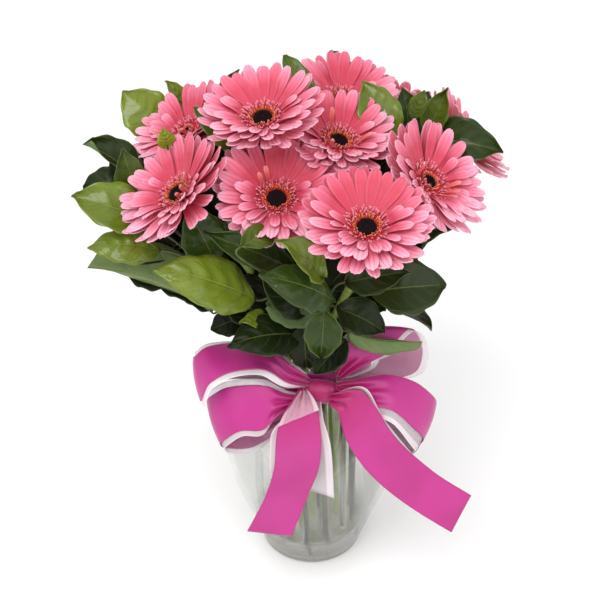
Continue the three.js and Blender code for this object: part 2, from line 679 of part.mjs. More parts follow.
addMesh("vase", solidOf(turned([...GLASS_OUTSIDE, ...GLASS_INSIDE])), "glass");
BLOOMS.forEach((bloom, i) => addBloom(bloom, i + 1));
addRibbon();
addFoliage();
addWater();

export default object;
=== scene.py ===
"""Gerberas in a glass vase: the looks of every piece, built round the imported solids.

Metres, +Z up, -Y front. Places that the solids share are written in millimetres and
turned into metres where they are used.
"""
import math
import random

import bmesh
import bpy
from mathutils import Matrix, Vector
from mathutils.geometry import interpolate_bezier


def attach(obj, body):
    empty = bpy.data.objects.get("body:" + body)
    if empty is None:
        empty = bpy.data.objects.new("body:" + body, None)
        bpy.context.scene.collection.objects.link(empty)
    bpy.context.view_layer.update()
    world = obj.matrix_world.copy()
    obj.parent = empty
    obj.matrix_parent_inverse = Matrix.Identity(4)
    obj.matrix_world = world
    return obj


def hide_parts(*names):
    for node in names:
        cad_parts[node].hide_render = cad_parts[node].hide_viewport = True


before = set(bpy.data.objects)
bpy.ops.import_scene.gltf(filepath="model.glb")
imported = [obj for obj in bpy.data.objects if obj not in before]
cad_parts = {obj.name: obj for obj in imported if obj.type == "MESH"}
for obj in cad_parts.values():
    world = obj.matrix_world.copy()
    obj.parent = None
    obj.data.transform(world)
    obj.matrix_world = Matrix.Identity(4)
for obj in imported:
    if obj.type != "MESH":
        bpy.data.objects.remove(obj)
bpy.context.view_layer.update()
MM = 0.001


# ---- materials ----

def paint(colour):
    """A screen colour, 0 to 255, as the linear colour that a shader takes."""
    shares = [value / 255 for value in colour]
    return (*(v / 12.92 if v <= 0.04045 else ((v + 0.055) / 1.055) ** 2.4 for v in shares), 1.0)


class Wire:
    """A value in a finish: an output socket that can be reckoned with."""

    def __init__(self, finish, socket):
        self.finish, self.socket = finish, socket

    def _maths(self, operation, *values, clamp=False):
        return self.finish.node("ShaderNodeMath", {"operation": operation, "use_clamp": clamp},
                                dict(enumerate(values)))

    def __add__(self, other):
        return self._maths("ADD", self, other)

    def __radd__(self, other):
        return self._maths("ADD", other, self)

    def __sub__(self, other):
        return self._maths("SUBTRACT", self, other)

    def __rsub__(self, other):
        return self._maths("SUBTRACT", other, self)

    def __mul__(self, other):
        return self._maths("MULTIPLY", self, other)

    def __rmul__(self, other):
        return self._maths("MULTIPLY", other, self)

    def size(self):
        return self._maths("ABSOLUTE", self)

    def wave(self):
        return self._maths("SINE", self)

    def fraction(self):
        return self._maths("FRACT", self)

    def clamped(self):
        return self._maths("ADD", self, 0.0, clamp=True)

    def step(self, low, high):
        """0 below low, 1 above high and smooth between them."""
        return self.finish.node("ShaderNodeMapRange", {"interpolation_type": "SMOOTHSTEP"},
                                {0: self, 1: low, 2: high, 3: 0.0, 4: 1.0})


class Finish:
    """A procedural material for one of the surfaces."""

    def __init__(self, name, **constants):
        self.material = bpy.data.materials.new(name)
        self.material.use_nodes = True
        self.tree = self.material.node_tree
        self.shader = self.tree.nodes["Principled BSDF"]
        for socket, value in constants.items():
            self.shader.inputs[socket.replace("_", " ")].default_value = value

    def node(self, kind, settings, inputs, output=0):
        made = self.tree.nodes.new(kind)
        for key, value in settings.items():
            if key == "stops":
                while len(made.color_ramp.elements) < len(value):
                    made.color_ramp.elements.new(0.5)
                for element, (place, colour) in zip(made.color_ramp.elements, value):
                    element.position, element.color = place, colour
            else:
                setattr(made, key, value)
        for key, value in inputs.items():
            if isinstance(value, Wire):
                self.tree.links.new(value.socket, made.inputs[key])
            else:
                made.inputs[key].default_value = value
        return Wire(self, made.outputs[output])

    def mix(self, share, first, second):
        return self.node("ShaderNodeMix", {"data_type": "RGBA"}, {0: share, 6: first, 7: second}, 2)

    def ramp(self, value, *stops):
        return self.node("ShaderNodeValToRGB", {"stops": stops}, {0: value})

    def place(self):
        return self.node("ShaderNodeTexCoord", {}, {}, "Object")

    def across_and_along(self):
        both = self.node("ShaderNodeUVMap", {}, {})
        split = self.node("ShaderNodeSeparateXYZ", {}, {0: both})
        return split, Wire(self, split.socket.node.outputs[1])

    def attribute(self, name):
        return self.node("ShaderNodeAttribute", {"attribute_name": name}, {}, "Fac")

    def point(self, x, y, z=0.0):
        return self.node("ShaderNodeCombineXYZ", {}, {0: x, 1: y, 2: z})

    def noise(self, where, scale, detail=2.0):
        return self.node("ShaderNodeTexNoise", {}, {"Vector": where, "Scale": scale, "Detail": detail})

    def give(self, **wires):
        for socket, wire in wires.items():
            self.tree.links.new(wire.socket, self.shader.inputs[socket.replace("_", " ")])

    def bump(self, height, depth, strength=1.0):
        relief = {"Height": height, "Distance": depth, "Strength": strength}
        self.give(Normal=self.node("ShaderNodeBump", {}, relief))


def petal_finish(name, roughness, *colours):
    """Ray petals: deep at the base, pale at the tip and the edges, with two grooves and fine veins."""
    base, middle, tip, streak = map(paint, colours)
    finish = Finish(name, Roughness=roughness, Sheen_Weight=0.2, Sheen_Roughness=0.45,
                    Sheen_Tint=paint((255, 222, 232)), Subsurface_Weight=0.12, Subsurface_Scale=0.003,
                    Subsurface_Radius=(1.0, 0.25, 0.3))
    across, along = finish.across_and_along()
    tone = finish.attribute("tone")
    # The tone attribute is a random tone plus painted light and shade: above zero, on the side that hangs
    # lowest, the ramp turns paler; below zero, on the far side, the ramp turns deeper and the base colour
    # is mixed in as painted shade.
    body = finish.ramp(along + tone * 0.17, (0.0, base), (0.26, base), (0.6, middle), (0.96, tip))
    body = finish.mix((0 - tone - 0.7).clamped() * 0.6, body, base)
    out = (across - 0.5).size() * 2
    body = finish.mix(out.step(0.6, 1.0) * along * 0.2, body, tip)
    groove = 1 - ((out - 0.34).size() * 2).step(0.08, 0.3)
    body = finish.mix(groove * (1 - along * 0.3) * 0.5, body, streak)
    veins = finish.noise(finish.point(across * 34, along * 1.6, tone * 40), 1.0, 3.0)
    body = finish.mix(veins.step(0.45, 0.7) * (1 - along * 0.6) * 0.35, body, streak)
    blotch = finish.noise(finish.place(), 70.0)
    body = finish.mix(blotch.step(0.5, 0.85) * 0.15, body, streak)
    finish.give(Base_Color=body, Roughness=veins * 0.2 + (roughness - 0.1))
    finish.bump((across * 75 + veins * 3).wave() * 0.35 + veins - groove * 0.6, 0.0003, 0.5)
    return finish.material


def leaf_finish(name, roughness, gloss, *colours):
    """Leaf blades: a pale midrib, faint side veins that curve to the tip, and a puffed blade."""
    dark, green, bright, vein = map(paint, colours)
    finish = Finish(name, Coat_Roughness=0.14, Specular_IOR_Level=0.12,
                    Subsurface_Weight=0.04, Subsurface_Scale=0.002)
    across, along = finish.across_and_along()
    tone = finish.attribute("tone")
    out = (across - 0.5).size() * 2
    rank = along * 5.6 - out * 1.1 - out * out * 0.7 + finish.noise(finish.place(), 35.0) * 0.5
    side = ((rank.fraction() - 0.5).size() * 2).step(0.9, 1.0) * (1 - out.step(0.6, 0.95))
    midrib = 1 - out.step(0.01, 0.045)
    net = finish.noise(finish.place(), 700.0, 3.0)
    cloud = finish.noise(finish.place(), 45.0, 3.0)
    body = finish.ramp(tone + (cloud - 0.5) * 0.3, (0.0, dark), (0.45, green), (1.0, bright))
    body = finish.mix((midrib * 0.7 + side * 0.32).clamped() * (tone * 0.4 + 0.3), body, vein)
    body = finish.mix(net.step(0.45, 0.75) * 0.14, body, dark)
    body = finish.mix(out.step(0.93, 1.0) * 0.15, body, vein)
    finish.give(Base_Color=body, Roughness=cloud * 0.24 + (roughness - 0.12), Coat_Weight=tone * gloss)
    puff = (rank * (2 * math.pi)).wave() * (1 - out) * 0.4 + cloud * 1.2
    finish.bump(puff - side * 0.5 - midrib + net * 0.25, 0.0011, 0.75)
    return finish.material


def stem_finish(name, roughness, ribs, *colours):
    """Stems: a little ribbed and mottled along their length."""
    finish = Finish(name, Roughness=roughness)
    where = finish.place()
    mottle = finish.noise(where, 140.0, 4.0)
    fine = finish.noise(where, ribs, 2.0)
    shade = (mottle.step(0.35, 0.7) * 0.7 + fine * 0.2).clamped()
    finish.give(Base_Color=finish.mix(shade, *map(paint, colours)),
                Roughness=fine * 0.2 + (roughness - 0.1))
    finish.bump(fine + mottle * 0.5, 0.0004, 0.5)
    return finish.material


def plain_finish(name, roughness, scale, *colours):
    """Small parts, with a grain of their own."""
    finish = Finish(name, Roughness=roughness, Specular_IOR_Level=0.2)
    grain = finish.noise(finish.place(), scale, 3.0)
    finish.give(Base_Color=finish.mix(grain.step(0.35, 0.7), *map(paint, colours)))
    finish.bump(grain, 0.0002, 0.6)
    return finish.material


WARP_GAP, WEFT_GAP = 0.0007, 0.0006  # metres from thread to thread


def cloth_finish(name, sheer, *colours):
    """Ribbon: threads both ways, a closer selvedge along both edges, and painted shade that deepens the
    colour near the knot."""
    face, shade, selvedge_and_knot_shade = map(paint, colours)
    finish = Finish(name, Roughness=0.36, Sheen_Weight=0.0 if sheer else 0.25, Sheen_Roughness=0.35)
    across, along = finish.across_and_along()
    warp = (across * (2 * math.pi / WARP_GAP)).wave()
    weft = (along * (2 * math.pi / WEFT_GAP)).wave()
    selvedge = finish.attribute("edge").step(0.93, 0.98)
    near = finish.attribute("near")
    veil = finish.attribute("veil")
    cloud = finish.noise(finish.place(), 30.0, 2.0)
    body = finish.mix(cloud.step(0.3, 0.75) * 0.5, face, shade)
    body = finish.mix((weft * 0.5 + 0.5) * 0.12, body, shade)
    # Painted shade near the knot, read from the near attribute.
    body = finish.mix(near * 0.8, body, selvedge_and_knot_shade)
    if sheer:
        border = finish.attribute("edge").step(0.74, 0.82)
        opacity = border * 0.3 + selvedge * 0.15 + near * 0.06 + veil + warp * weft * 0.06
        finish.give(Base_Color=body, Alpha=opacity.clamped())
    else:
        body = finish.mix(selvedge * 0.3, body, selvedge_and_knot_shade)
        finish.give(Base_Color=body, Roughness=cloud * 0.15 + 0.28 + selvedge * 0.1)
    finish.bump(warp * 0.4 + weft * 0.6 + selvedge * 2, 0.0001, 0.4)
    return finish.material


BASE_TOP, BASE_FADE = 0.012, 0.032  # metres up the vase between which the base's deeper colour, partly painted shade, fades


def clear_finish(name, ior, alpha, *colours):
    """Blown glass or water: partly plain see-through, so that what stands inside stays light, and a deeper
    colour in the thick base, partly the thick glass's own and partly painted shade."""
    finish = Finish(name, IOR=ior, Transmission_Weight=1.0, Roughness=0.0, Alpha=alpha)
    height = finish.node("ShaderNodeSeparateXYZ", {}, {0: finish.place()}, 2)
    # Towards the floor: the thick glass's own deeper colour together with painted shade.
    base = 1 - height.step(BASE_TOP, BASE_FADE)
    finish.give(Base_Color=finish.mix(base, *map(paint, colours)), Alpha=base * 0.5 + alpha)
    finish.bump(finish.noise(finish.place(), 14.0, 1.0), 0.0008, 0.2)
    return finish.material


PETAL = petal_finish("petal_top", 0.48, (198, 48, 76), (230, 118, 146), (247, 184, 206), (196, 62, 92))
PETAL_UNDER = petal_finish("petal_underside", 0.55, (228, 114, 122), (236, 140, 152), (243, 168, 180),
                           (218, 100, 114))
FLORET = petal_finish("floret", 0.5, (214, 62, 80), (230, 100, 116), (243, 152, 166), (208, 62, 82))
INNER_RAY = petal_finish("inner_petal", 0.5, (226, 84, 84), (236, 116, 112), (246, 168, 158), (218, 76, 80))
GROUND = plain_finish("floret_ground", 0.6, 900.0, (196, 40, 56), (158, 24, 42))
DISC = plain_finish("disc", 0.8, 900.0, (12, 3, 7), (30, 8, 14))
STYLE = plain_finish("style", 0.6, 700.0, (240, 152, 84), (220, 104, 60))
BRACT = stem_finish("bract", 0.6, 600.0, (120, 140, 76), (78, 98, 46))
STEM = stem_finish("flower_stem", 0.5, 420.0, (142, 162, 74), (100, 122, 46))
BARK = stem_finish("twig_bark", 0.7, 500.0, (76, 62, 38), (36, 28, 16))
STALK = stem_finish("leaf_stalk", 0.5, 500.0, (74, 90, 38), (44, 56, 24))
LEAF = leaf_finish("leaf_top", 0.42, 0.8, (9, 14, 5), (42, 60, 14), (130, 148, 36), (144, 160, 76))
LEAF_UNDER = leaf_finish("leaf_underside", 0.6, 0.0, (60, 76, 46), (104, 122, 76), (158, 172, 108),
                         (176, 186, 140))
# The third colour of each ribbon is painted shade near the knot; on the satin it also colours the selvedge.
SATIN = cloth_finish("satin_ribbon", False, (180, 35, 128), (158, 22, 105), (160, 8, 58))
SHEER = cloth_finish("sheer_ribbon", True, (240, 229, 234), (229, 217, 224), (222, 166, 189))
GLASS = clear_finish("vase_glass", 1.45, 0.25, (216, 218, 208), (176, 170, 154))
WATER = clear_finish("water", 1.33, 0.09, (238, 240, 230), (206, 202, 188))


# ---- modelling helpers ----

def only(*pieces):
    """Selects these pieces and nothing else."""
    bpy.ops.object.select_all(action="DESELECT")
    for piece in pieces:
        piece.select_set(True)
    bpy.context.view_layer.objects.active = pieces[0]


def added(name, primitive, **settings):
    """A new primitive, with nothing else selected."""
    bpy.ops.object.select_all(action="DESELECT")
    primitive(**settings)
    piece = bpy.context.object
    piece.name = name
    return piece


def begin_grid(name, columns, rows):
    """A flat grid in edit mode, a metre square: x from -0.5 to 0.5 and y from 0 to 1."""
    piece = added(name, bpy.ops.mesh.primitive_grid_add, x_subdivisions=columns, y_subdivisions=rows,
                  size=1)
    bpy.ops.object.mode_set(mode="EDIT")
    shift(0, 0.5, 0)
    return piece


def pick(piece, columns, test):
    """Selects the vertices of a grid in edit mode whose column and row pass the test."""
    mesh = bmesh.from_edit_mesh(piece.data)
    mesh.verts.index_update()
    for vertex in mesh.verts:
        row, column = divmod(vertex.index, columns + 1)
        vertex.select_set(bool(test(column, row)))
    mesh.select_flush_mode()
    bmesh.update_edit_mesh(piece.data)


def shift(x, y, z):
    bpy.ops.transform.translate(value=(x, y, z))


def stretch(factors, centre=(0, 0, 0)):
    bpy.ops.transform.resize(value=factors, center_override=centre)


def end_edit(piece, *materials):
    bpy.ops.object.mode_set(mode="OBJECT")
    for material in materials:
        piece.data.materials.append(material)
    piece.data.shade_smooth()
    return piece


def modify(piece, kind, **settings):
    """Adds a modifier and applies it."""
    only(piece)
    modifier = piece.modifiers.new("shaping", kind)
    for key, value in settings.items():
        setattr(modifier, key, value)
    bpy.ops.object.modifier_apply(modifier=modifier.name)
    return piece


def copy_of(model, place, tone=None):
    """A copy with a mesh of its own, put in its place."""
    piece = model.copy()
    piece.data = model.data.copy()
    bpy.context.scene.collection.objects.link(piece)
    piece.data.transform(place)
    if tone is not None:
        mark(piece, "tone", tone)
    return piece


def mark(piece, name, value):
    """Gives the whole piece one value that its finish reads."""
    layer = piece.data.attributes.get(name) or piece.data.attributes.new(name, "FLOAT", "POINT")
    layer.data.foreach_set("value", [value] * len(piece.data.vertices))


def joined(name, pieces):
    only(*pieces)
    bpy.ops.object.join()
    piece = bpy.context.object
    piece.name = piece.data.name = name
    return piece


def forget(*pieces):
    for piece in pieces:
        bpy.data.objects.remove(piece)


def settle(piece, slot, *nodes):
    """Puts a finished piece on the body and hides the nodes that it stands for; the slot is not used."""
    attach(piece, "root")
    if nodes:
        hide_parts(*nodes)


def level_line(stops, share):
    """The height at a share of the way along, straight between the stops."""
    for (s0, v0), (s1, v1) in zip(stops, stops[1:]):
        if share <= s1:
            return v0 + (v1 - v0) * (share - s0) / (s1 - s0)
    return stops[-1][1]


def smooth_run(points, steps):
    """Points on a smooth line through the given ones, a number of steps for each gap."""
    run = []
    for i in range(len(points) - 1):
        before, here = points[max(i - 1, 0)], points[i]
        there, after = points[i + 1], points[min(i + 2, len(points) - 1)]
        for step in range(steps):
            t = step / steps
            run.append(0.5 * (2 * here + (there - before) * t
                              + (2 * before - 5 * here + 4 * there - after) * t * t
                              + (3 * here - before - 3 * there + after) * t ** 3))
    return [*run, points[-1]]


def turned(name, profile, sides, material):
    """A body turned about Z: a ring is extruded and scaled through a profile of radii and heights
    in millimetres. A profile that starts or ends on the axis is closed there."""
    profile = [(radius * MM, height * MM) for radius, height in profile]
    start = 1 if profile[0][0] == 0 else 0
    radius, height = profile[start]
    piece = added(name, bpy.ops.mesh.primitive_circle_add, vertices=sides, radius=radius,
                  location=(0, 0, height), fill_type="TRIFAN" if start else "NOTHING")
    bpy.ops.object.transform_apply()
    bpy.ops.object.mode_set(mode="EDIT")
    mesh = bmesh.from_edit_mesh(piece.data)
    for vertex in mesh.verts:
        vertex.select_set(vertex.co.xy.length > radius / 2)
    mesh.select_flush_mode()
    if start:
        for face in mesh.faces:
            face.select_set(False)
        for edge in mesh.edges:
            edge.select_set(edge.is_boundary)
    bmesh.update_edit_mesh(piece.data)
    for next_radius, next_height in profile[start + 1:]:
        bpy.ops.mesh.extrude_region_move(TRANSFORM_OT_translate={"value": (0, 0, next_height - height)})
        if next_radius == 0:
            bpy.ops.mesh.merge(type="CENTER")
            break
        stretch((next_radius / radius, next_radius / radius, 1), (0, 0, next_height))
        radius, height = next_radius, next_height
    bpy.ops.mesh.select_all(action="SELECT")
    bpy.ops.mesh.normals_make_consistent(inside=False)
    return end_edit(piece, material)


def tubes(name, runs, thickness, material, rounding=2):
    """Round stems along Bezier runs. A run is a list of points with both their handles and
    their share of the thickness, which is in millimetres."""
    piece = added(name, bpy.ops.curve.primitive_bezier_curve_add)
    curve = piece.data
    curve.splines.clear()
    for run in runs:
        spline = curve.splines.new("BEZIER")
        spline.bezier_points.add(len(run) - 1)
        for knot, (before, at, after, share) in zip(spline.bezier_points, run):
            knot.handle_left_type = knot.handle_right_type = "FREE"
            knot.co, knot.handle_left, knot.handle_right, knot.radius = at, before, after, share
    curve.bevel_depth, curve.bevel_resolution = thickness * MM, rounding
    curve.resolution_u, curve.use_fill_caps = 10, True
    only(piece)
    bpy.ops.object.convert(target="MESH")
    piece = bpy.context.object
    piece.data.materials.append(material)
    piece.data.shade_smooth()
    return piece


def mm(values):
    return Vector(values) * MM


def moved(x, y, z):
    return Matrix.Translation(mm((x, y, z)))


def turn(axis, degrees):
    return Matrix.Rotation(math.radians(degrees), 4, axis)


def stem_run(foot, neck, first, second, end, foot_share, end_share):
    """A straight run from the foot to the neck and a bend with two handles up to the end."""
    half = (neck - foot) / 3
    return [(foot - half, foot, foot + half, foot_share), (neck - half, neck, first, 1.0),
            (second, end, end * 2 - second, end_share)]


# ---- vase and water ----

NECK_Z = 198
VASE_FLOOR = 14
WATER_LEVEL = 155
WATER_GAP = 0.15  # between the water and the glass
GLASS_OUTSIDE = [(42, 0.8), (43.2, 3), (43.6, 6), (46, 12), (54, 35), (65.5, 67), (73, 100),
                 (75.5, 125), (72, 150), (60, 170), (47.6, 185), (45.2, NECK_Z), (48.4, 212), (55, 220.6)]
GLASS_LIP = [(55.8, 221.6), (55.4, 222), (53.8, 221.6)]
GLASS_INSIDE = [(53, 220.6), (44.8, 210), (41.8, NECK_Z), (44, 184), (56, 168), (68, 148),
                (71.6, 125), (69, 100), (61.5, 68), (49.6, 37), (40, 18), (24, 14.4), (0, VASE_FLOOR)]


def eased(profile, steps=4):
    """The profile with its corners rounded off."""
    return [(point.x, point.y) for point in smooth_run([Vector((r, z, 0)) for r, z in profile], steps)]


outside = [(0, 0), (39, 0), *eased(GLASS_OUTSIDE)]
inside = [*eased(GLASS_INSIDE[:-1]), (0, VASE_FLOOR)]
settle(turned("vase_glass", [*outside, *GLASS_LIP, *inside], 96, GLASS), "glass", "vase")

# The water climbs a little way up the glass at its rim.
under_water = [(max(r - WATER_GAP, 0), z + WATER_GAP) for r, z in reversed(inside) if z < WATER_LEVEL]
rim = under_water[-1][0]
surface = [(rim - 0.1, WATER_LEVEL + 0.9), (rim - 0.9, WATER_LEVEL + 0.1), (rim - 3, WATER_LEVEL - 0.4),
           (0, WATER_LEVEL - 0.4)]
settle(turned("water_in_vase", [*under_water, *surface], 72, WATER), "water", "water")


# ---- blooms ----

RAY_COLUMNS, RAY_ROWS = 6, 8
RAY_THICKNESS = 0.4
RAY_CUTS = [0, 0.12, 0.27, 0.43, 0.58, 0.72, 0.85, 0.945, 1.0]
RAY_WIDTHS = [0.42, 0.54, 0.72, 0.88, 0.98, 1.0, 0.86, 0.58, 0.22]
RAY_RIDGES = [0.75, 0.62, 0.05, 0.55, 0.05, 0.62, 0.75]
TIP_TEETH = [(-1.2, -0.5, -0.9, 0.3, -0.9, -0.5, -1.2), (-1.4, -0.3, -0.2, -0.9, 0.1, -0.4, -1.5),
             (-1.0, -0.4, 0.2, 0.0, 0.2, -0.5, -1.1), (-0.9, 0.1, -0.6, -0.3, -0.7, -0.2, -1.3)]


def ray_model(name, length, half_width, heights, teeth, hollow, top=PETAL, under=PETAL_UNDER):
    """A ray petal: two grooves run along it, it is channelled, and its tip is notched."""
    ray = begin_grid(name, RAY_COLUMNS, RAY_ROWS)
    for column, height in enumerate(RAY_RIDGES):
        pick(ray, RAY_COLUMNS, lambda c, r: c == column)
        shift(0, 0, height * MM)
    for row, share in enumerate(RAY_CUTS):
        pick(ray, RAY_COLUMNS, lambda c, r: r == row)
        depth = hollow * (0.6 + 0.6 * math.sin(math.pi * min(1, share * 1.15)))
        stretch((2 * half_width * RAY_WIDTHS[row] * MM, 1, depth), (0, row / RAY_ROWS, 0))
        shift(0, share * length * MM - row / RAY_ROWS, level_line(heights, share) * MM)
    for column, tooth in enumerate(teeth):
        pick(ray, RAY_COLUMNS, lambda c, r: c == column and r == RAY_ROWS)
        shift(0, tooth * MM, 0)
    end_edit(ray, top, under)
    return modify(ray, "SOLIDIFY", thickness=RAY_THICKNESS * MM, offset=-1, material_offset=1)


def sliver(name, length, half_width, parts, heights, lift, thickness, material):
    """A floret of the ring round the disc, or a bract: narrow, and channelled by its lifted edges."""
    piece = begin_grid(name, 2, 4)
    for row, part in enumerate(parts):
        share = row / 4
        pick(piece, 2, lambda c, r: r == row)
        stretch((2 * half_width * part * MM, 1, 1))
        shift(0, share * length * MM - share, level_line(heights, share) * MM)
    pick(piece, 2, lambda c, r: c != 1)
    shift(0, 0, lift * MM)
    end_edit(piece, material)
    return modify(piece, "SOLIDIFY", thickness=thickness * MM, offset=-1)


OUTER = [(0, -0.4), (0.32, 0.8), (0.6, 2.9), (0.8, 5.8), (1, 10.2)]
MIDDLE = [(0, 0.6), (0.33, 4.6), (0.7, 10.2), (0.88, 13.2), (1, 14.8)]
SHORT = [(0, 0.6), (0.4, 3.8), (0.8, 6.0), (1, 6.4)]
CURLED = [(0, 0), (0.3, 5.5), (0.7, 11.5), (1, 14.0)]
outer_rays, middle_rays, short_rays = (
    [ray_model(name, length, half_width, heights, teeth, hollow) for teeth in TIP_TEETH]
    for name, length, half_width, heights, hollow in [
        ("outer_ray", 34.5, 5.0, OUTER, 1.15), ("middle_ray", 30.0, 4.9, MIDDLE, 1.3),
        ("short_ray", 16.5, 3.4, SHORT, 1.2)])
curled_rays = [ray_model("curled_ray", 8.5, 1.7, CURLED, teeth, 1.9, INNER_RAY, INNER_RAY)
               for teeth in TIP_TEETH[:2]]
FLORET_WIDTHS = [0.7, 1.0, 0.9, 1.0, 0.6]
floret_models = [sliver("floret", length, half_width, FLORET_WIDTHS, heights, 0.35, 0.3, FLORET)
                 for length, half_width, heights in [
                     (5.2, 0.5, [(0, 0), (0.45, 1.9), (0.8, 2.7), (1, 2.1)]),
                     (4.4, 0.46, [(0, 0), (0.45, 2.2), (0.8, 3.3), (1, 2.8)]),
                     (3.2, 0.42, [(0, 0), (0.5, 2.2), (1, 3.4)])]]
bract_model = sliver("bract", 9, 1.25, [0.9, 1.0, 0.85, 0.5, 0.08], [(0, 0), (1, 0)], -0.35, 0.5, BRACT)


def cone(name, sides, low_radius, high_radius, height, middle):
    """A slender cone standing on Z, in millimetres."""
    piece = added(name, bpy.ops.mesh.primitive_cone_add, vertices=sides, radius1=low_radius * MM,
                  radius2=high_radius * MM, depth=height * MM, location=(0, 0, middle * MM))
    bpy.ops.object.transform_apply()
    return piece


# A style with its forked tip, an unopened floret of the disc, and a hair of the stem.
style_model = cone("style", 5, 0.42, 0.3, 3.4, 1.7)
bpy.ops.object.mode_set(mode="EDIT")
tops = bmesh.from_edit_mesh(style_model.data)
for face in tops.faces:
    face.select_set(face.normal.z > 0.9)
bmesh.update_edit_mesh(style_model.data)
bpy.ops.mesh.extrude_region_move(TRANSFORM_OT_translate={"value": (0, 0.4 * MM, 0.6 * MM)})
stretch((1.7, 1.2, 1), (0, 0, 4 * MM))
end_edit(style_model, STYLE)
bud_model = added("bud", bpy.ops.mesh.primitive_ico_sphere_add, subdivisions=1, radius=0.62 * MM)
bpy.ops.object.mode_set(mode="EDIT")
stretch((1, 1, 1.5))
end_edit(bud_model, DISC)
hair_model = cone("hair", 3, 0.05, 0.012, 1.5, 3.5)
hair_model.data.materials.append(STEM)

# Place of each disc in millimetres, the way that it faces, its spin, and for its stem the foot,
# the neck (x and y) and the two handles of the bend up to the head.
BLOOMS = [
    ((-97, 42, 374), (-0.51, -0.14, 0.85), 4,
     (-10.1, 4.4, 24.9), (-21.3, 9.2), (-24.8, 10.7, 250.6), (-55.5, 53.4, 304.8)),
    ((-37.5, -5, 410.6), (-0.14, -0.27, 0.955), 16,
     (0.4, -3.9, 21.3), (-8.3, -1.1), (-11.1, -0.2, 256.5), (-25.2, 18.8, 326.4)),
    ((22.9, 73.8, 385.5), (0.13, -0.22, 0.97), 8,
     (11, 10, 26.7), (5, 16.2), (3.2, 18.2, 251.9), (12.1, 92, 305.3)),
    ((18.3, 1, 388.4), (0.2, -0.24, 0.95), 24,
     (10.2, -2.8, 23.1), (4, 0.2), (2.2, 1.1, 249.5), (2.3, 20.2, 312.3)),
    ((-99, -38, 366), (-0.56, -0.25, 0.79), 4,
     (-10.4, -9.7, 19.6), (-21.8, -8.4), (-25, -8, 248.2), (-54.9, -18.3, 303.8)),
    ((-27.3, -38.5, 362.5), (0.01, -0.5, 0.86), 20,
     (2.2, -9.8, 25), (-6, -8.5), (-8.1, -8.1, 243), (-28, -2, 299.8)),
    ((36, -90, 369), (0.04, -0.36, 0.93), 0,
     (13.3, -18.8, 21.4), (7.9, -19.8), (6.4, -20.1, 248.1), (32.9, -61.7, 295.9)),
    ((83.7, -27.4, 369.8), (0.59, -0.37, 0.72), 15,
     (21.7, -7.8, 26.8), (18.4, -6), (17.4, -5.5, 248), (37.5, 1.6, 313.4)),
    ((117, 59, 358), (0.76, 0.13, 0.63), 12,
     (27.6, 7.4, 23.2), (25.7, 13), (25.2, 14.6, 249.4), (56, 48.6, 307.4)),
    ((68, 124, 350), (0.38, 0.62, 0.69), 16,
     (19, 19.2, 19.6), (15, 27.7), (13.8, 30.3, 251.1), (36.9, 75.3, 303.5)),
    ((-48, 98, 368), (-0.3, 0.6, 0.74), 28,
     (-1.4, 14.6, 25.1), (-10.6, 22), (-13.4, 24.3, 252.1), (-23, 50, 316.3)),
]
LAYERS = [  # models, count, radius and height of their roots in millimetres, pitch in degrees, droop
    (outer_rays, 26, 13.0, -1.0, 0, 0.3), (middle_rays, 24, 12.8, 0.4, 0, 0.12)]
FLORET_RINGS = [  # models, count, radius, height and pitch
    (floret_models[:1], 44, 14.2, 0.2, 2), (floret_models[:2], 40, 12.8, 0.1, 10),
    (floret_models[1:2], 36, 11.5, 0.0, 20), (floret_models[2:], 30, 10.6, 0.0, 34)]
# The small salmon petals that stand up beside the disc: for a bloom, their angles from the side
# that hangs lowest.
STANDING = {1: (-55, -28, 0, 26, 52), 4: (70, 200, -42), 5: (58, 80, 106), 6: (205, 230),
            8: (252, 20, 45, 66), 9: (20,)}
# How long the petals are on the side that hangs lowest and on the far side, as shares.
REACH = {2: (0.77, 1.0), 4: (0.68, 1.0), 6: (1.0, 1.18)}
FAR_SHADE = {7: 0.8}  # how much painted shade deepens the far petals
DISC_SIZE, USUAL_DISC = {1: 0.62, 4: 0.86, 8: 0.66}, 0.93
SHORT_RAYS, BUDS, HAIRS = 21, 84, 110
SHORT_ROOT, CURLED_ROOT = (14.2, 0.9), (13.0, 0.2)  # radius and height
BEND_POINTS, HAIRY_PART = 60, (26, 59)  # hairs stand between these points of the bend
SPIRAL_TURN = 2.39996  # from bud to bud, in radians
STYLE_RINGS = [(30, 8.5, 8), (26, 9.5, 20)]  # count, radius and lean
BRACT_RINGS = [(18, 6.6, -7.6, 46), (16, 9.2, -4.4, 22)]  # count, radius, height and pitch
GROUND_RING = [(4.4, -1.6), (4.8, -0.9), (8.0, -0.2), (11, 0.5), (15, 1.0), (19.0, 1.5), (14.6, -0.6),
               (11, -1.8)]
DOME = [(0, -2), (7.2, -2), (7.6, 0.2), (6.9, 1.6), (5, 2.2), (2, 1.7), (0, 1.6)]
CUP = [(0, -20), (3, -20), (3.6, -16), (4.6, -12.5), (7.4, -9.2), (9.2, -6.4), (10.8, -3.6), (13.4, -2.2),
       (14.2, -1.4), (13.4, -0.8), (11.6, -0.8), (9.4, -1.2), (8.2, -2.2), (0, -2.4)]
STEM_END = 20  # how far under the disc the stem ends
Z_AXIS = Vector((0, 0, 1))
CAMERA_DOWN = Vector((0, -0.56, -0.83))


def angles(count, chance, spread, start=0.0):
    """Nearly even angles round the head, in degrees."""
    for i in range(count):
        yield (i + start + chance.uniform(-spread, spread)) * 360 / count


def grown(models, chance, angle, radius, height, pitch, length=1.0, roll=0.0, yaw=0.0, pale=0.0):
    """One of the models, growing outwards at an angle round the head's axis."""
    place = (turn("Z", angle) @ moved(0, radius, height) @ turn("Z", yaw) @ turn("X", pitch)
             @ turn("Y", roll) @ Matrix.Diagonal((length ** 0.5, length, length, 1)))
    # The tone is random, plus pale: painted light where pale is above zero and painted shade where it is
    # below.
    return copy_of(chance.choice(models), place, chance.uniform(-0.5, 0.5) + pale)


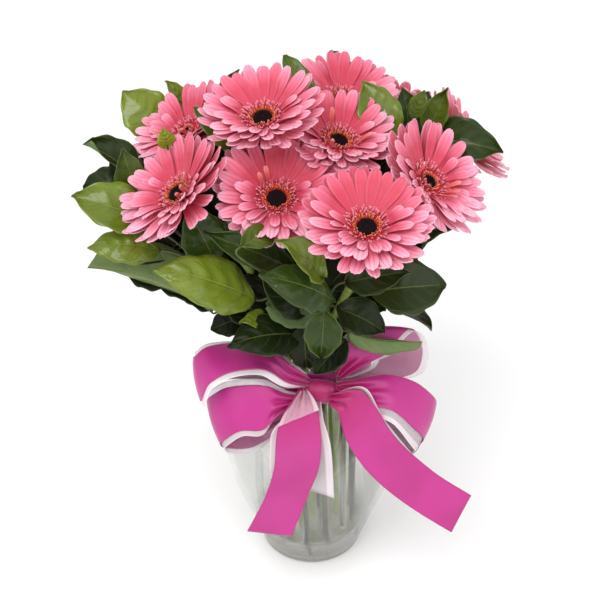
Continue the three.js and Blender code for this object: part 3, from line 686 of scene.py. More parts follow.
def bloom_head(number, size, low_side, chance):
    """Every petal and floret of a head, its axis along Z. The angle low_side is where it hangs
    lowest: the short petals are longest there. The size is that of its disc."""
    ground = turned(f"ground_{number}", [*GROUND_RING, GROUND_RING[0]], 36, GROUND)
    pieces = [modify(ground, "WELD", merge_threshold=0.01 * MM)]
    near, far = REACH.get(number, (1.0, 1.0))
    for layer, (models, count, radius, height, pitch, droop) in enumerate(LAYERS):
        for angle in angles(count, chance, 0.22, 0.5 * (layer % 2)):
            fall = chance.uniform(6, 13) if chance.random() < droop else 0
            side = math.cos(math.radians(angle) - low_side)
            reach = 1 + (near - 1) * max(0, side) + (far - 1) * max(0, -side)
            # The last value shifts each petal's tone: painted light on the side that hangs lowest and
            # painted shade on the far side, the far side deeper still for the blooms given above.
            pieces.append(grown(
                models, chance, angle, radius, height + chance.uniform(-0.3, 0.3),
                pitch - fall + chance.uniform(-3, 4), chance.uniform(0.92, 1.04) * reach,
                chance.uniform(-10, 10), chance.uniform(-5, 5),
                side - FAR_SHADE.get(number, 0.0) * max(0, -side)))
    for angle in angles(SHORT_RAYS, chance, 0.35):
        side = math.cos(math.radians(angle) - low_side)
        length = chance.uniform(0.8, 1.35) + 0.15 * side
        if side > -0.45:
            # The last value is painted light on the short petals of the lowest side and slight painted
            # shade on those further round.
            pieces.append(grown(short_rays, chance, angle, *SHORT_ROOT, chance.uniform(6, 20), length,
                                chance.uniform(-14, 14), chance.uniform(-14, 14), 0.5 * side))
    for angle in STANDING.get(number, ()):
        pieces.append(grown(curled_rays, chance, angle + math.degrees(low_side), *CURLED_ROOT,
                            chance.uniform(0, 12), chance.uniform(0.9, 1.1), 0, chance.uniform(-20, 20)))
    rings = [*FLORET_RINGS, (floret_models[2:], 22, 10.4 * size, -0.2, 40)]
    for models, count, radius, height, pitch in rings:
        for angle in angles(count, chance, 0.35):
            pieces.append(grown(
                models, chance, angle, radius + chance.uniform(-0.5, 0.5), height,
                pitch + chance.uniform(-14, 16), chance.uniform(0.75, 1.15), chance.uniform(-30, 30),
                chance.uniform(-24, 24)))
    return joined(f"gerbera_{number:02d}_petals", pieces)


def bloom_disc(number, size, chance):
    """The dark middle: unopened florets in a spiral on a low dome, with the open ones' styles
    standing round them."""
    pieces = [turned(f"dome_{number}", DOME, 24, DISC)]
    for i in range(BUDS):
        share = math.sqrt((i + 0.5) / BUDS)
        radius = 7.4 * share
        height = 1.5 + 0.9 * math.sin(math.pi * min(1, share)) - (1.0 if share > 0.93 else 0)
        place = moved(radius * math.cos(SPIRAL_TURN * i), radius * math.sin(SPIRAL_TURN * i), height)
        pieces.append(copy_of(bud_model, place @ Matrix.Scale(0.75 + 0.55 * share, 4)))
    for ring, (count, radius, lean) in enumerate(STYLE_RINGS):
        for angle in angles(count, chance, 0.3, 0.5 * ring):
            place = (turn("Z", angle) @ moved(0, radius + chance.uniform(-0.3, 0.3), -0.4)
                     @ turn("X", -lean + chance.uniform(-14, 14))
                     @ Matrix.Scale(chance.uniform(0.8, 1.12), 4))
            pieces.append(copy_of(style_model, place))
    disc = joined(f"gerbera_{number:02d}_disc", pieces)
    disc.data.transform(Matrix.Diagonal((size, size, 1, 1)))
    return disc


def bloom_stem(number, chance, head, foot, neck, first, second, end):
    """The stem, the cup under the head with its bracts, and the hairs below the cup."""
    cup = turned(f"cup_{number}", CUP, 24, BRACT)
    cup.data.transform(head)
    bracts = []
    for count, radius, height, pitch in BRACT_RINGS:
        for angle in angles(count, chance, 0.2):
            place = (turn("Z", angle) @ moved(0, radius, height) @ turn("X", pitch)
                     @ Matrix.Scale(chance.uniform(0.85, 1.1), 4))
            bracts.append(copy_of(bract_model, head @ place @ turn("Y", 180)))
    stem = tubes(f"tube_{number}", [stem_run(foot, neck, first, second, end, 0.95, 1.02)], 3.0, STEM, 3)
    line = interpolate_bezier(neck, first, second, end, BEND_POINTS)
    hairs = []
    for _ in range(HAIRS):
        spot = chance.randrange(*HAIRY_PART)
        here, there = line[spot], line[spot + 1]
        lie = Z_AXIS.rotation_difference((there - here).normalized()).to_matrix().to_4x4()
        place = Matrix.Translation(here.lerp(there, chance.random())) @ lie
        hairs.append(copy_of(hair_model, place @ turn("Z", chance.uniform(0, 360))
                             @ turn("X", chance.uniform(76, 88))))
    return joined(f"gerbera_{number:02d}_stem", [stem, cup, *bracts, *hairs])


for number, (at, faces, spin, foot, neck, first, second) in enumerate(BLOOMS, 1):
    chance = random.Random(number * 101)
    facing = Vector(faces).normalized()
    head = moved(*at) @ Z_AXIS.rotation_difference(facing).to_matrix().to_4x4() @ turn("Z", spin)
    down = head.to_3x3().transposed() @ CAMERA_DOWN
    size = DISC_SIZE.get(number, USUAL_DISC)
    petals = bloom_head(number, size, math.atan2(-down.x, down.y), chance)
    disc = bloom_disc(number, size, chance)
    for piece, slot, kind in ((petals, "petal", "petals"), (disc, "disc", "disc")):
        piece.data.transform(head)
        settle(piece, slot, f"bloom_{number:02d}_{kind}")
    stem = bloom_stem(number, chance, head, mm(foot), mm((*neck, NECK_Z)), mm(first), mm(second),
                      mm(at) - facing * STEM_END * MM)
    settle(stem, "stem", f"bloom_{number:02d}_stem")
forget(*outer_rays, *middle_rays, *short_rays, *curled_rays, *floret_models, style_model, bud_model,
       bract_model, hair_model)


# ---- foliage ----

LEAF_COLUMNS, LEAF_ROWS = 10, 28
LEAF_OUTLINE = [(0, 0.05), (0.05, 0.3), (0.12, 0.58), (0.22, 0.83), (0.34, 0.97), (0.46, 1.0),
                (0.58, 0.95), (0.7, 0.8), (0.8, 0.6), (0.88, 0.37), (0.94, 0.18), (1, 0.02)]
LEAF_THICKNESS = 0.5
LEAF_TWIST = 22  # degrees, at most, either way
LEAF_ARCH = 0.4
EDGE_TURNS, EDGE_WAVES, EDGE_SWAY = 15, 23, 0.018
MIDRIB_SINK = 0.01
SIDE_VEINS, VEIN_ROWS, VEIN_SLANT = 5, 5, 0.9


def leaf_model(name, bend, edge_lift, wave, puff):
    """A pointed blade a metre long and a metre wide: its edge undulates, its midrib is sunk, and
    it is puffed up between its side veins."""
    blade = begin_grid(name, LEAF_COLUMNS, LEAF_ROWS)
    middle = LEAF_COLUMNS // 2
    for row in range(LEAF_ROWS + 1):
        share = row / LEAF_ROWS
        pick(blade, LEAF_COLUMNS, lambda c, r: r == row)
        stretch((level_line(LEAF_OUTLINE, share), 1, 1))
        shift(0, 0, LEAF_ARCH * share * (1 - share) + bend * share ** 3)
        if share < 0.96:
            for side, lag in ((-1, 0.0), (1, 1.9)):
                rise = wave * math.sin(EDGE_TURNS * share + lag)
                pick(blade, LEAF_COLUMNS, lambda c, r: r == row and (c - middle) * side == middle)
                shift(EDGE_SWAY * side * math.sin(EDGE_WAVES * share + lag), 0, rise)
                pick(blade, LEAF_COLUMNS, lambda c, r: r == row and (c - middle) * side == middle - 1)
                shift(0, 0, 0.5 * rise)
    for out in range(1, middle + 1):
        part = out / middle
        pick(blade, LEAF_COLUMNS, lambda c, r: abs(c - middle) == out and r < LEAF_ROWS)
        shift(0, 0, edge_lift * part ** 1.6 + MIDRIB_SINK)
    for vein in range(SIDE_VEINS):
        for start, rise in ((3 + VEIN_ROWS * vein, -puff), (5.5 + VEIN_ROWS * vein, puff)):
            pick(blade, LEAF_COLUMNS, lambda c, r: 0 < abs(c - middle) < middle
                 and r == round(start + VEIN_SLANT * abs(c - middle)))
            shift(0, 0, rise)
    return end_edit(blade, LEAF, LEAF_UNDER)


# For each woody stem: its foot, its neck (x and y), the handles of its bend and its end.
TWIGS = [
    ((-3.8, -29.7, 18), (-13.5, -33.4), (-15.2, -34, 229.7), (-20.3, -50.7, 264.3), (-24, -60, 300)),
    ((12, -31.4, 23), (6.3, -35.5), (5.2, -36.2, 228.5), (10, -52.7, 261.7), (12, -62, 296)),
    ((26.3, -24.4, 28), (24.1, -26.8), (23.7, -27.1, 225.6), (34.4, -33.4, 256.5), (40, -37, 288)),
    ((34.9, -10, 22), (34.9, -8.7), (34.9, -8.4, 239.8), (75.9, -4.3, 278.6), (98, -2, 322)),
    ((34.1, 6.9, 27), (33.8, 12.3), (33.8, 13.9, 247.9), (71.6, 27.7, 298.1), (92, 36, 352)),
    ((24.7, 19.7, 21), (22.2, 28.4), (21.4, 30.8, 247.7), (46.8, 50.2, 300.7), (60, 62, 356)),
    ((8, 25.8, 26), (1.3, 36), (-0.6, 38.8, 244.8), (5.6, 72.4, 292.9), (8, 92, 344)),
    ((-10.7, 19.7, 20), (-22.2, 28.4), (-25.4, 30.8, 248.1), (-58.5, 56.7, 296.8), (-78, 72, 350)),
    ((-21.5, 1, 25), (-35.6, 5), (-39.7, 6.1, 247), (-93.1, 1.8, 287.7), (-124, 0, 336)),
    ((-17.4, -18.3, 19), (-30.5, -19.1), (-33.1, -19.2, 233.4), (-65.3, -31.4, 265.6), (-84, -38, 302)),
    ((6.2, 4.2, 24), (-1, 9), (-3.1, 10.4, 249), (-5.6, 12.3, 308.5), (-8, 14, 368)),
]
# The leaves of each woody stem: their root on it, base and tip in millimetres, then, where it is
# not the usual one, their width, how light they are from 0 to 1, their blade, their roll in
# degrees and whether they face outwards.
LEAVES = {
    1: [((-23, -58, 292), (-43, -62, 289), (-111, -85, 333), 42, 0.74, 3),
        ((-24, -59, 297), (-19, -54, 312), (-76, -73, 354), 26, 0.4),
        ((-24, -59, 297), (-51, -52, 329), (-64, -55, 355), 22, 0.5, 2, 18),
        ((-24, -59, 297), (-52, -94, 355), (-29, -59, 346), 19, 0.55, 0),
        ((-20, -49, 264), (-34, -54, 261), (-53, -74, 279), 18, 0.8),
        ((-20, -48, 260), (-51, -40, 259), (-79, -45, 250), 24, 0.05, 0),
        ((-17, -41, 239), (-22, -38, 240), (-52, -44, 262), 30, 0.03),
        ((-22, -54, 279), (-11, -23, 290), (6, 3, 329)),
        ((-19, -45, 253), (-37, -41, 252), (-69, -19, 283)),
        ((-19, -45, 253), (-26, -38, 254), (-44, -12, 293)),
        ((-21, -52, 272), (-8, -60, 268), (-5, -61, 223), 26, 0.07)],
    2: [((12, -61, 293), (4, -75, 318), (-23, -100, 365), 26, 0.7),
        ((12, -61, 293), (15, -70, 293), (-35, -100, 337), 34, 0.42, 3),
        ((10, -53, 267), (-9, -60, 277), (-38, -80, 326), 30, 0.15),
        ((12, -61, 293), (23, -74, 313), (67, -83, 328), 26, 0.2, 1, 22),
        ((11, -58, 282), (17, -60, 281), (54, -70, 266), 30, 0.12),
        ((9, -49, 254), (27, -56, 256), (82, -66, 253), 13, 0.45, 2, 158),
        ((9, -49, 256), (-10, -58, 255), (-62, -90, 270), 36, 0.12, 3),
        ((12, -61, 293), (8, -75, 291), (5, -85, 254), 28, 0.45, 2),
        ((11, -56, 278), (11, -60, 277), (-37, -80, 296), 28, 0.2, 1, 168),
        ((8, -47, 251), (6, -32, 256), (2, -34, 300), 38, 0.04),
        ((8, -44, 240), (-4, -34, 244), (-18, -40, 282), 34, 0.03),
        ((11, -58, 284), (10, -45, 288), (45, -25, 317))],
    3: [((40, -37, 286), (42, -46, 285), (101, -36, 286), 44, 0.32, 0),
        ((37, -35, 273), (27, -38, 274), (55, -48, 270), 26, 0.1, 0),
        ((36, -34, 267), (25, -55, 248), (1, -68, 224), 26, 0.08, 0),
        ((27, -29, 226), (20, -22, 228), (34, -18, 262), 34, 0.03)],
    4: [((76, -4, 286), (66, 2, 300), (128, 23, 330), 38, 0.25, 1, 16, True),
        ((56, -6, 255), (46, -19, 262), (90, -52, 254), 34, 0.15, 0, -16, True),
        ((64, -6, 268), (50, 2, 276), (84, 0, 318), 38, 0.06)],
    5: [((90, 35, 348), (56, 24, 372), (38, 43, 418), 36, 0.7),
        ((90, 35, 348), (75, 49, 368), (68, 60, 404), 22, 0.3, 0),
        ((90, 35, 348), (84, 60, 366), (89, 70, 396), 24, 0.4),
        ((60, 23, 282), (59, 29, 281), (102, 64, 289), 34, 0.1, 1, 16, True),
        ((73, 28, 309), (54, 44, 316), (80, 38, 350), 36, 0.06),
        ((92, 36, 352), (88, 30, 383), (100, 30, 418), 20, 0.55, 2),
        ((92, 36, 352), (75, 30, 393), (83, 30, 416), 14, 0.6, 0)],
    6: [((47, 51, 309), (102, 106, 324), (105, 97, 368), 20, 0.5, 0, -36),
        ((59, 61, 352), (85, 30, 377), (141, 7, 378), 36, 0.3, 1, 18),
        ((44, 48, 300), (44, 49, 300), (100, 84, 314), 38, 0.2, 0, -16, True),
        ((50, 53, 320), (52, 38, 324), (77, 62, 360))],
    7: [((8, 90, 340), (20, 79, 347), (18, 143, 401), 36, 0.45, 1, 16, True),
        ((5, 71, 297), (-2, 66, 300), (-23, 128, 330), 38, 0.12, 2, 16, True),
        ((3, 57, 267), (-23, 53, 271), (-56, 97, 279), 34, 0.1, 0, 16, True),
        ((5, 73, 300), (20, 62, 305), (34, 60, 350)),
        ((7, 82, 320), (0, 62, 330), (-26, 60, 368), 34, 0.06)],
    8: [((-76, 71, 346), (-119, 88, 352), (-152, 95, 384), 40, 0.85),
        ((-76, 71, 346), (-99, 89, 369), (-117, 89, 396), 16, 0.7, 0),
        ((-76, 71, 346), (-66, 60, 389), (-57, 60, 419), 18, 0.65, 2),
        ((-54, 53, 294), (-44, 49, 300), (-73, 108, 314), 38, 0.1, 0, -16, True),
        ((-43, 44, 269), (-49, 30, 271), (-88, 69, 263), 34, 0.08, 1, -16, True),
        ((-50, 50, 286), (-52, 34, 292), (-84, 26, 330), 36),
        ((-59, 57, 306), (-50, 46, 314), (-66, 40, 352), 34, 0.08),
        ((-65, 62, 319), (-75, 26, 327), (-83, 54, 368)), ((-67, 63, 323), (-53, 38, 339), (-28, 62, 375)),
        ((-75, 70, 342), (-76, 47, 348), (-93, 73, 387))],
    9: [((-121, 0, 332), (-134, 10, 349), (-172, 10, 382), 30, 0.25, 2, 30),
        ((-121, 0, 332), (-141, 20, 345), (-179, 20, 338), 24, 0.2),
        ((-121, 0, 332), (-131, -4, 337), (-142, -3, 385), 26, 0.5, 0, -18),
        ((-121, 0, 332), (-108, -5, 387), (-110, -10, 404), 14, 0.9, 1, 18),
        ((-64, 4, 259), (-54, -6, 267), (-105, -26, 275), 34, 0.12, 0, 16, True),
        ((-81, 3, 281), (-80, 14, 282), (-122, 28, 318), 34),
        ((-94, 2, 297), (-75, 6, 314), (-66, 34, 355)), ((-82, 3, 282), (-87, 3, 278), (-130, 17, 298)),
        ((-86, 2, 287), (-104, -4, 272), (-152, 4, 283)), ((-73, 3, 271), (-80, -7, 266), (-129, -3, 273)),
        ((-69, 4, 266), (-76, -4, 260), (-51, 20, 296)), ((-99, 2, 302), (-109, -7, 293), (-152, 7, 314)),
        ((-98, 2, 301), (-126, 5, 276), (-83, 19, 297)),
        ((-124, 0, 336), (-129, 4, 339), (-151, 26, 371), 34, 0.08)],
    10: [((-82, -37, 299), (-123, -24, 330), (-178, -24, 358), 40, 0.72, 1, 18),
         ((-82, -37, 299), (-114, -40, 319), (-167, -45, 327), 30, 0.7, 3),
         ((-66, -31, 272), (-78, -34, 258), (-171, -28, 298), 44, 0.5, 2, 116),
         ((-82, -37, 299), (-74, -45, 312), (-93, -49, 362), 36, 0.45, 0),
         ((-59, -29, 261), (-62, -14, 262), (-104, -8, 300), 36),
         ((-57, -28, 259), (-65, -15, 256), (-112, -5, 271))],
    11: [((-8, 14, 364), (-1, 28, 401), (-23, 60, 431), 20, 0.55, 0),
         ((-8, 14, 364), (-6, 6, 377), (-19, 11, 404), 20, 0.75),
         ((-6, 12, 311), (44, 29, 312), (106, 43, 350), 22, 0.1, 0, -38, True),
         ((-6, 12, 317), (-22, 67, 333), (-23, 130, 371), 36, 0.3, 0, -16, True),
         ((-5, 12, 302), (-65, 14, 300), (-130, 9, 330), 38, 0.15, 1, 16, True),
         ((-5, 11, 283), (-28, 10, 282), (-64, 12, 316), 38, 0.04),
         ((-4, 11, 276), (-8, -6, 276), (-28, -12, 312), 38, 0.04),
         ((-7, 13, 338), (6, 36, 338), (20, 44, 380), 30, 0.08),
         ((-5, 12, 302), (9, 6, 303), (17, 34, 343)),
         ((-8, 14, 364), (-57, -5, 379), (-90, 22, 406), 16, 0.6, 0)],
}
blades = [leaf_model(name, *shape) for name, *shape in [
    ("flat_blade", 0.0, 0.04, 0.012, 0.004), ("drooping_blade", -0.1, 0.07, 0.022, 0.004),
    ("folded_blade", -0.03, 0.17, 0.02, 0.003), ("puckered_blade", -0.08, -0.03, 0.018, 0.015)]]


def leaf(chance, base, tip, width=38, tone=0.05, blade=1, roll=0, outwards=False):
    """One blade in its place, with its own twist."""
    length, along = (tip - base).length, (tip - base).normalized()
    level = Vector((tip.x, tip.y, 0)).normalized() if outwards else Vector((0, -1, 0))
    facing = (level * 0.65 + Z_AXIS * 0.76).normalized()
    normal = (facing - along * facing.dot(along)).normalized()
    normal = Matrix.Rotation(math.radians(roll), 3, along) @ normal
    across = along.cross(normal)
    piece = copy_of(blades[blade], Matrix.Diagonal((width * MM, length, length, 1)), tone)
    modify(piece, "SIMPLE_DEFORM", deform_method="TWIST", deform_axis="Y",
           angle=math.radians(chance.uniform(-LEAF_TWIST, LEAF_TWIST)))
    modify(piece, "SOLIDIFY", thickness=LEAF_THICKNESS * MM, offset=-1, material_offset=1)
    piece.data.transform(Matrix.Translation(base) @ Matrix((across, along, normal)).transposed().to_4x4())
    return piece


for number, (foot, neck, first, second, end) in enumerate(TWIGS, 1):
    chance = random.Random(number * 37)
    run = stem_run(mm(foot), mm((*neck, NECK_Z)), mm(first), mm(second), mm(end), 1.0, 0.6)
    parts = [tubes(f"twig_{number}", [run], 2.1, BARK)]
    stalks = []
    for root, base, tip, *rest in LEAVES[number]:
        root, base, tip = mm(root), mm(base), mm(tip)
        parts.append(leaf(chance, base, tip, *rest))
        third = (base - root).length / 3
        along = (tip - base).normalized()
        up = ((base - root).normalized() + Vector((0, 0, 0.5))).normalized()
        stalks.append([(root - up * third, root, root + up * third, 1.25),
                       (base - along * third, base, base + along * third * 0.6, 0.9)])
    parts.append(tubes(f"stalks_{number}", stalks, 0.85, STALK))
    settle(joined(f"leafy_sprig_{number:02d}", parts), "leaf", f"leafy_stem_{number:02d}")
forget(*blades)


# ---- ribbon ----

SATIN_WIDTH, SHEER_WIDTH = 36, 45
PLY_SPACING = 1.2
# How far the sheer ply shows past the satin's left and right edges, as shares of its width.
USUAL_OVERHANG, SHEER_OVERHANG = (0.13, 0.13), {"lower_right": (0.01, 0.34)}
LOOP_CAMBER = 1.6
VEIL = {"upper_left": 0.34, "lower_left": 0.1, "lower_right": 0.3, "upper_right": 0.15}  # how white
TAIL_VEIL, TURNED_VEIL, BAND_VEIL = 0.34, 0.2, 0.3
KNOT = (7, -57.4, 200.5)
# Left and right edges of each run in millimetres, from the knot outwards.
LOOPS = {
    "upper_left": [
        ((-4, -60, 217), (-4, -63, 209)), ((-16, -60, 228), (-21, -76, 222)),
        ((-35, -48, 237), (-39, -76, 235)), ((-64, -40, 234), (-61, -73, 231)),
        ((-83, -44, 233), (-79, -75, 221)), ((-92, -48, 226), (-87, -74, 203)),
        ((-90, -37, 220), (-87, -56, 207)), ((-62, -34, 219), (-56, -51, 209)),
        ((-30, -46, 212), (-26, -55, 203)), ((-4, -52, 211), (-4, -54, 204))],
    "lower_left": [
        ((-4, -67.6, 203), (-4, -67.6, 195)), ((-20, -69, 206), (-25, -75, 193)),
        ((-39, -68, 214), (-39, -84, 183)), ((-65, -65, 210), (-56, -84, 182)),
        ((-77, -62, 201), (-68, -82, 172)), ((-83, -57, 191), (-73, -77, 162)),
        ((-80, -46, 177), (-68, -66, 149)), ((-56, -44, 174), (-48, -62, 147)),
        ((-30, -54, 182), (-26, -66, 168)), ((-4, -58, 198), (-4, -62, 191.5))],
    "lower_right": [
        ((18, -62, 211), (18, -64, 203)), ((32, -58, 213), (40, -73, 199)),
        ((57, -56, 215), (62, -80, 198)), ((79, -54, 207), (78, -80, 181)),
        ((94, -52, 192), (86, -75, 167)), ((98, -47, 179), (85, -70, 157)),
        ((93, -38, 163), (81, -58, 138)), ((74, -36, 167), (66, -55, 141)),
        ((45, -46, 184), (43, -58, 170)), ((18, -52, 201), (18, -58, 194))],
    "upper_right": [
        ((18, -58, 218), (20, -56, 211)), ((20, -56, 229), (40, -54, 224)),
        ((24, -51, 239), (57, -50, 231)), ((31, -46, 247), (66, -47, 244)),
        ((40, -40, 249), (75, -41, 248)), ((49, -36, 239), (83, -37, 237)),
        ((53, -35, 222), (86, -36, 218)), ((48, -38, 209), (78, -37, 201)),
        ((30, -47, 207), (42, -46, 200)), ((18, -51, 212), (18, -50, 206))],
}
TAILS = {
    "left": [
        ((-11, -65, 208), (-5, -67, 210)), ((-20, -78, 201), (0, -74, 207)),
        ((-26, -85, 191), (3, -80, 202)), ((-29, -88, 174), (6, -87, 180)),
        ((-31, -89, 146), (5, -90, 153)), ((-39, -90, 117), (-3, -91, 124)),
        ((-53, -92, 84), (-17, -94, 81))],
    "right": [
        ((13, -67.4, 194), (13, -67.4, 206)), ((20, -77, 189), (34, -74, 214)),
        ((25, -84, 175), (48, -82, 203)), ((35, -89, 157), (59, -84, 183)),
        ((50, -92, 138), (73, -86, 165)), ((78, -96, 113), (97, -88, 142)),
        ((111, -98, 89), (126, -88, 119))],
}
SHEER_TAILS = {
    "left": [
        ((0, -62, 196), (6, -65, 196)), ((-29, -82, 185), (8, -76, 187)),
        ((-34, -82, 161), (14, -82, 163)), ((-34, -81, 131), (17, -83, 112))],
    "right": [
        ((18.2, -62, 193), (18.2, -62, 203)), ((28, -72, 186), (40, -71, 215)),
        ((35, -82, 163), (56, -79, 188)), ((64, -88, 124), (88, -84, 146)),
        ((89, -88, 104), (112, -83, 124))],
}
TURNED_OVER = [((-10, -69, 208.6), (-4, -71, 210.6)), ((-20.6, -82.4, 201.4), (1, -78.4, 207.6)),
               ((-27.4, -89, 190), (4.4, -84, 202.6))]
RIBBON_COLUMNS = 28
RIBBON_STEPS = 9
PLEATS = 2.5
PLEAT_START, PLEAT_SPAN = 0.86, 0.3  # shares of the ribbon's width
RIPPLE = 0.4
DEEPEST_PLEAT = 1.9
KNOT_REACH = 52  # how far from the knot the painted shade reaches


def ribbon(name, edges, width, thickness, material, inset=0.0, overhang=(0.0, 0.0), camber=0.0, seed=0):
    """A run of ribbon through its edges. Where the knot draws it in, it stands in pleats that
    hold its whole width. The sheer ply has the pleats of the satin one that it lies on."""
    lefts, rights = (smooth_run([Vector(pair[i]) for pair in edges], RIBBON_STEPS) for i in (0, 1))
    middles = [(a + b) / 2 for a, b in zip(lefts, rights)]
    rows = len(middles)
    piece = added(name, bpy.ops.mesh.primitive_grid_add, x_subdivisions=RIBBON_COLUMNS,
                  y_subdivisions=rows - 1, size=1)
    centre = sum(middles, Vector()) / rows
    normals = []
    for row in range(rows):
        ahead = middles[min(row + 1, rows - 1)] - middles[max(row - 1, 0)]
        normals.append(ahead.cross(rights[row] - lefts[row]).normalized())
    inwards = math.copysign(1, sum((centre - m).dot(n) for m, n in zip(middles, normals)))
    runs = [0.0]
    for a, b in zip(middles, middles[1:]):
        runs.append(runs[-1] + (b - a).length)
    phase = random.Random(seed).uniform(0, 6)
    spread = 1 + sum(overhang)
    for row in range(rows):
        left, right, normal = lefts[row], rights[row], normals[row] * inwards
        across = right - left
        share = across.length * spread / width
        slack = max(0.0, min(1.0, (PLEAT_START - share) / PLEAT_SPAN))
        fold = width / spread / 2 / PLEATS
        pleat = 0.5 * math.sqrt(max(0.0, fold ** 2 - (across.length / 2 / PLEATS) ** 2)) * slack
        pleat = min(pleat, DEEPEST_PLEAT)
        for column in range(RIBBON_COLUMNS + 1):
            w = column / RIBBON_COLUMNS * spread - overhang[0]
            out = pleat * math.cos(2 * math.pi * PLEATS * w + 0.4)
            out -= camber * (1 - (2 * w - 1) ** 2) * (1 - slack)
            out += RIPPLE * math.sin(runs[row] * 0.11 + 3.1 * w + phase) * min(1.0, share)
            piece.data.vertices[row * (RIBBON_COLUMNS + 1) + column].co = (
                left + across * w + normal * (inset + out)) * MM
    uv = piece.data.uv_layers.active
    edge = piece.data.attributes.new("edge", "FLOAT", "POINT")
    near = piece.data.attributes.new("near", "FLOAT", "POINT")
    for vertex in piece.data.vertices:
        row, column = divmod(vertex.index, RIBBON_COLUMNS + 1)
        edge.data[vertex.index].value = abs(2 * column / RIBBON_COLUMNS - 1)
        # Painted shade near the knot, fading to nothing at KNOT_REACH.
        distance = (middles[row] - Vector(KNOT)).length
        near.data[vertex.index].value = max(0.0, 1 - distance / KNOT_REACH)
    for loop in piece.data.loops:
        row, column = divmod(loop.vertex_index, RIBBON_COLUMNS + 1)
        uv.data[loop.index].uv = (column / RIBBON_COLUMNS * width * MM, runs[row] * MM)
    piece.data.materials.append(material)
    piece.data.shade_smooth()
    modify(piece, "SOLIDIFY", thickness=thickness * MM, offset=0)
    return piece, runs[-1] * MM


SATIN_THICKNESS, SHEER_THICKNESS = 0.35, 0.3


def lay_ply(name, node, edges, sheer, held, rests_on="bow_knot", veil=0.0, inset=0.0,
            overhang=(0.0, 0.0), camber=0.0, seed=0, **shown):
    """Lays one ply as a sheet of cloth, as long as its run."""
    width, thickness, finish = (
        (SHEER_WIDTH, SHEER_THICKNESS, SHEER) if sheer else (SATIN_WIDTH, SATIN_THICKNESS, SATIN))
    piece, length = ribbon(name, edges, width, thickness, finish, inset, overhang, camber, seed)
    if sheer:
        mark(piece, "veil", veil)
    settle(piece, "sheer" if sheer else "satin", *node)
    shown = {key: share * width * MM * length for key, share in shown.items()}


for i, (side, edges) in enumerate(LOOPS.items()):
    lay_ply(f"satin_loop_{side}", [f"ribbon_loop_{side}"], edges, False, "gathered",
            camber=LOOP_CAMBER, seed=i)
    lay_ply(f"organza_loop_{side}", [f"sheer_loop_{side}"], edges, True, "gathered", veil=VEIL[side],
            inset=PLY_SPACING, overhang=SHEER_OVERHANG.get(side, USUAL_OVERHANG), camber=LOOP_CAMBER,
            seed=i)
for i, (side, edges) in enumerate(TAILS.items()):
    lay_ply(f"satin_tail_{side}", [f"ribbon_tail_{side}"], edges, False, "hung", seed=i + 20)
for i, (side, edges) in enumerate(SHEER_TAILS.items()):
    lay_ply(f"organza_tail_{side}", [f"sheer_tail_{side}"], edges, True, "hung", veil=TAIL_VEIL,
            seed=i + 30)
lay_ply("organza_turned_over", [], TURNED_OVER, True, "folded", "satin_tail_left", TURNED_VEIL, seed=40,
        area=0.5)


def wound_band(name, slot, nodes, heights, radii, material):
    """The ribbon's turn round the neck, gathered into folds that run round it."""
    outer = list(zip(radii, heights))
    inner = [(radius - SATIN_THICKNESS, height) for radius, height in reversed(outer)]
    piece = turned(name, [*outer, *inner, outer[0]], 96, material)
    modify(piece, "WELD", merge_threshold=0.02 * MM)
    for vertex in piece.data.vertices:
        angle = math.atan2(vertex.co.y, vertex.co.x)
        vertex.co.z += 0.5 * MM * math.sin(3 * angle + 200 * vertex.co.z) + 0.3 * MM * math.sin(7 * angle)
    mark(piece, "edge", 0.0)
    mark(piece, "veil", BAND_VEIL)
    uv = piece.data.uv_layers.active or piece.data.uv_layers.new()
    for loop in piece.data.loops:
        spot = piece.data.vertices[loop.vertex_index].co
        uv.data[loop.index].uv = (spot.z, (math.atan2(spot.y, spot.x) + math.pi) * BAND_RADIUS)
    settle(piece, slot, *nodes)


BAND_RADIUS = 0.047  # metres
wound_band("satin_neck_band", "satin", ["ribbon_collar"],
           [189, 191, 193.4, 195.6, 198, 200.4, 202.6, 205, 207.2, 209.2, 210.6],
           [47.6, 48.5, 46.6, 48.2, 46.4, 48.2, 46.6, 48.6, 47.6, 49.2, 48.8], SATIN)
wound_band("organza_neck_band", "sheer", [], [184.6, 186.6, 188.6, 191], [48.6, 47.9, 47.3, 46.3],
           SHEER)

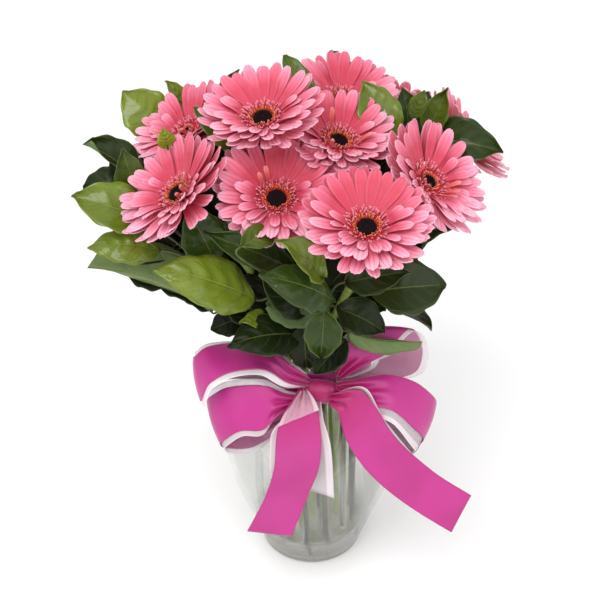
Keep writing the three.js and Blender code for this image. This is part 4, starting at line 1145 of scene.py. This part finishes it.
# The knot: the ribbon wound over the front as a soft flat band, with its folds running over it.
KNOT_PROFILE = [(-13.4, 5.4), (-12.8, 7.2), (-10.8, 8.7), (-8, 9.6), (-6, 9.2), (-4.2, 9.8), (-1.6, 10.0),
                (0.6, 9.5), (2.8, 10.0), (5.4, 9.8), (7.4, 9.1), (9.4, 9.0), (11.2, 8.0), (12.2, 6.6),
                (12.6, 5.2)]  # along its axis, and its radius there
knot = turned("bow_knot", [(0, -13.0), *[(r, x) for x, r in KNOT_PROFILE], (0, 12.2)], 48, SATIN)
for vertex in knot.data.vertices:
    angle = math.atan2(vertex.co.y, vertex.co.x)
    vertex.co.z += 0.9 * MM * math.sin(2 * angle + 1) + 0.4 * MM * math.sin(5 * angle)
knot.data.transform(moved(5, -58.6, 201) @ turn("Y", 97) @ Matrix.Diagonal((1, 0.86, 1, 1)))
mark(knot, "edge", 0.0)
# The knot itself takes much of the painted shade.
mark(knot, "near", 0.7)
settle(knot, "satin", "ribbon_knot")


# ---- floor, light and camera ----

floor_finish = Finish("pale_floor", Roughness=0.6)
grain = floor_finish.noise(floor_finish.place(), 3.0)
floor_finish.give(Base_Color=floor_finish.mix(grain, paint((250, 250, 250)), paint((253, 253, 253))))
floor = added("floor", bpy.ops.mesh.primitive_plane_add, size=8)
floor.data.materials.append(floor_finish.material)


def stood(name, data, place, rotation):
    """A light or the camera, in its place."""
    piece = bpy.data.objects.new(name, data)
    bpy.context.scene.collection.objects.link(piece)
    piece.location, piece.rotation_euler = place, rotation
    return piece


for name, place, size, watts in [("soft_key", (-0.45, -0.95, 1.8), 1.3, 22),
                                 ("soft_fill", (0.9, -1.2, 1.0), 1.4, 6)]:
    light = bpy.data.lights.new(name, "AREA")
    light.shape, light.size, light.energy = "DISK", size, watts
    towards = Vector((0, 0, 0.3)) - Vector(place)
    stood(name, light, place, towards.to_track_quat("-Z", "Y").to_euler())
world = bpy.data.worlds.new("studio")
world.use_nodes = True
for socket, value in enumerate([(1, 1, 1, 1), 0.9]):
    world.node_tree.nodes["Background"].inputs[socket].default_value = value
scene = bpy.context.scene
scene.world = world
scene.view_settings.view_transform = "Standard"

scene.camera = stood("camera", bpy.data.cameras.new("camera"), (-0.0103, -0.9242, 0.8707),
                     (math.radians(56), 0, 0))
scene.camera.data.lens, scene.camera.data.sensor_width = 84, 36
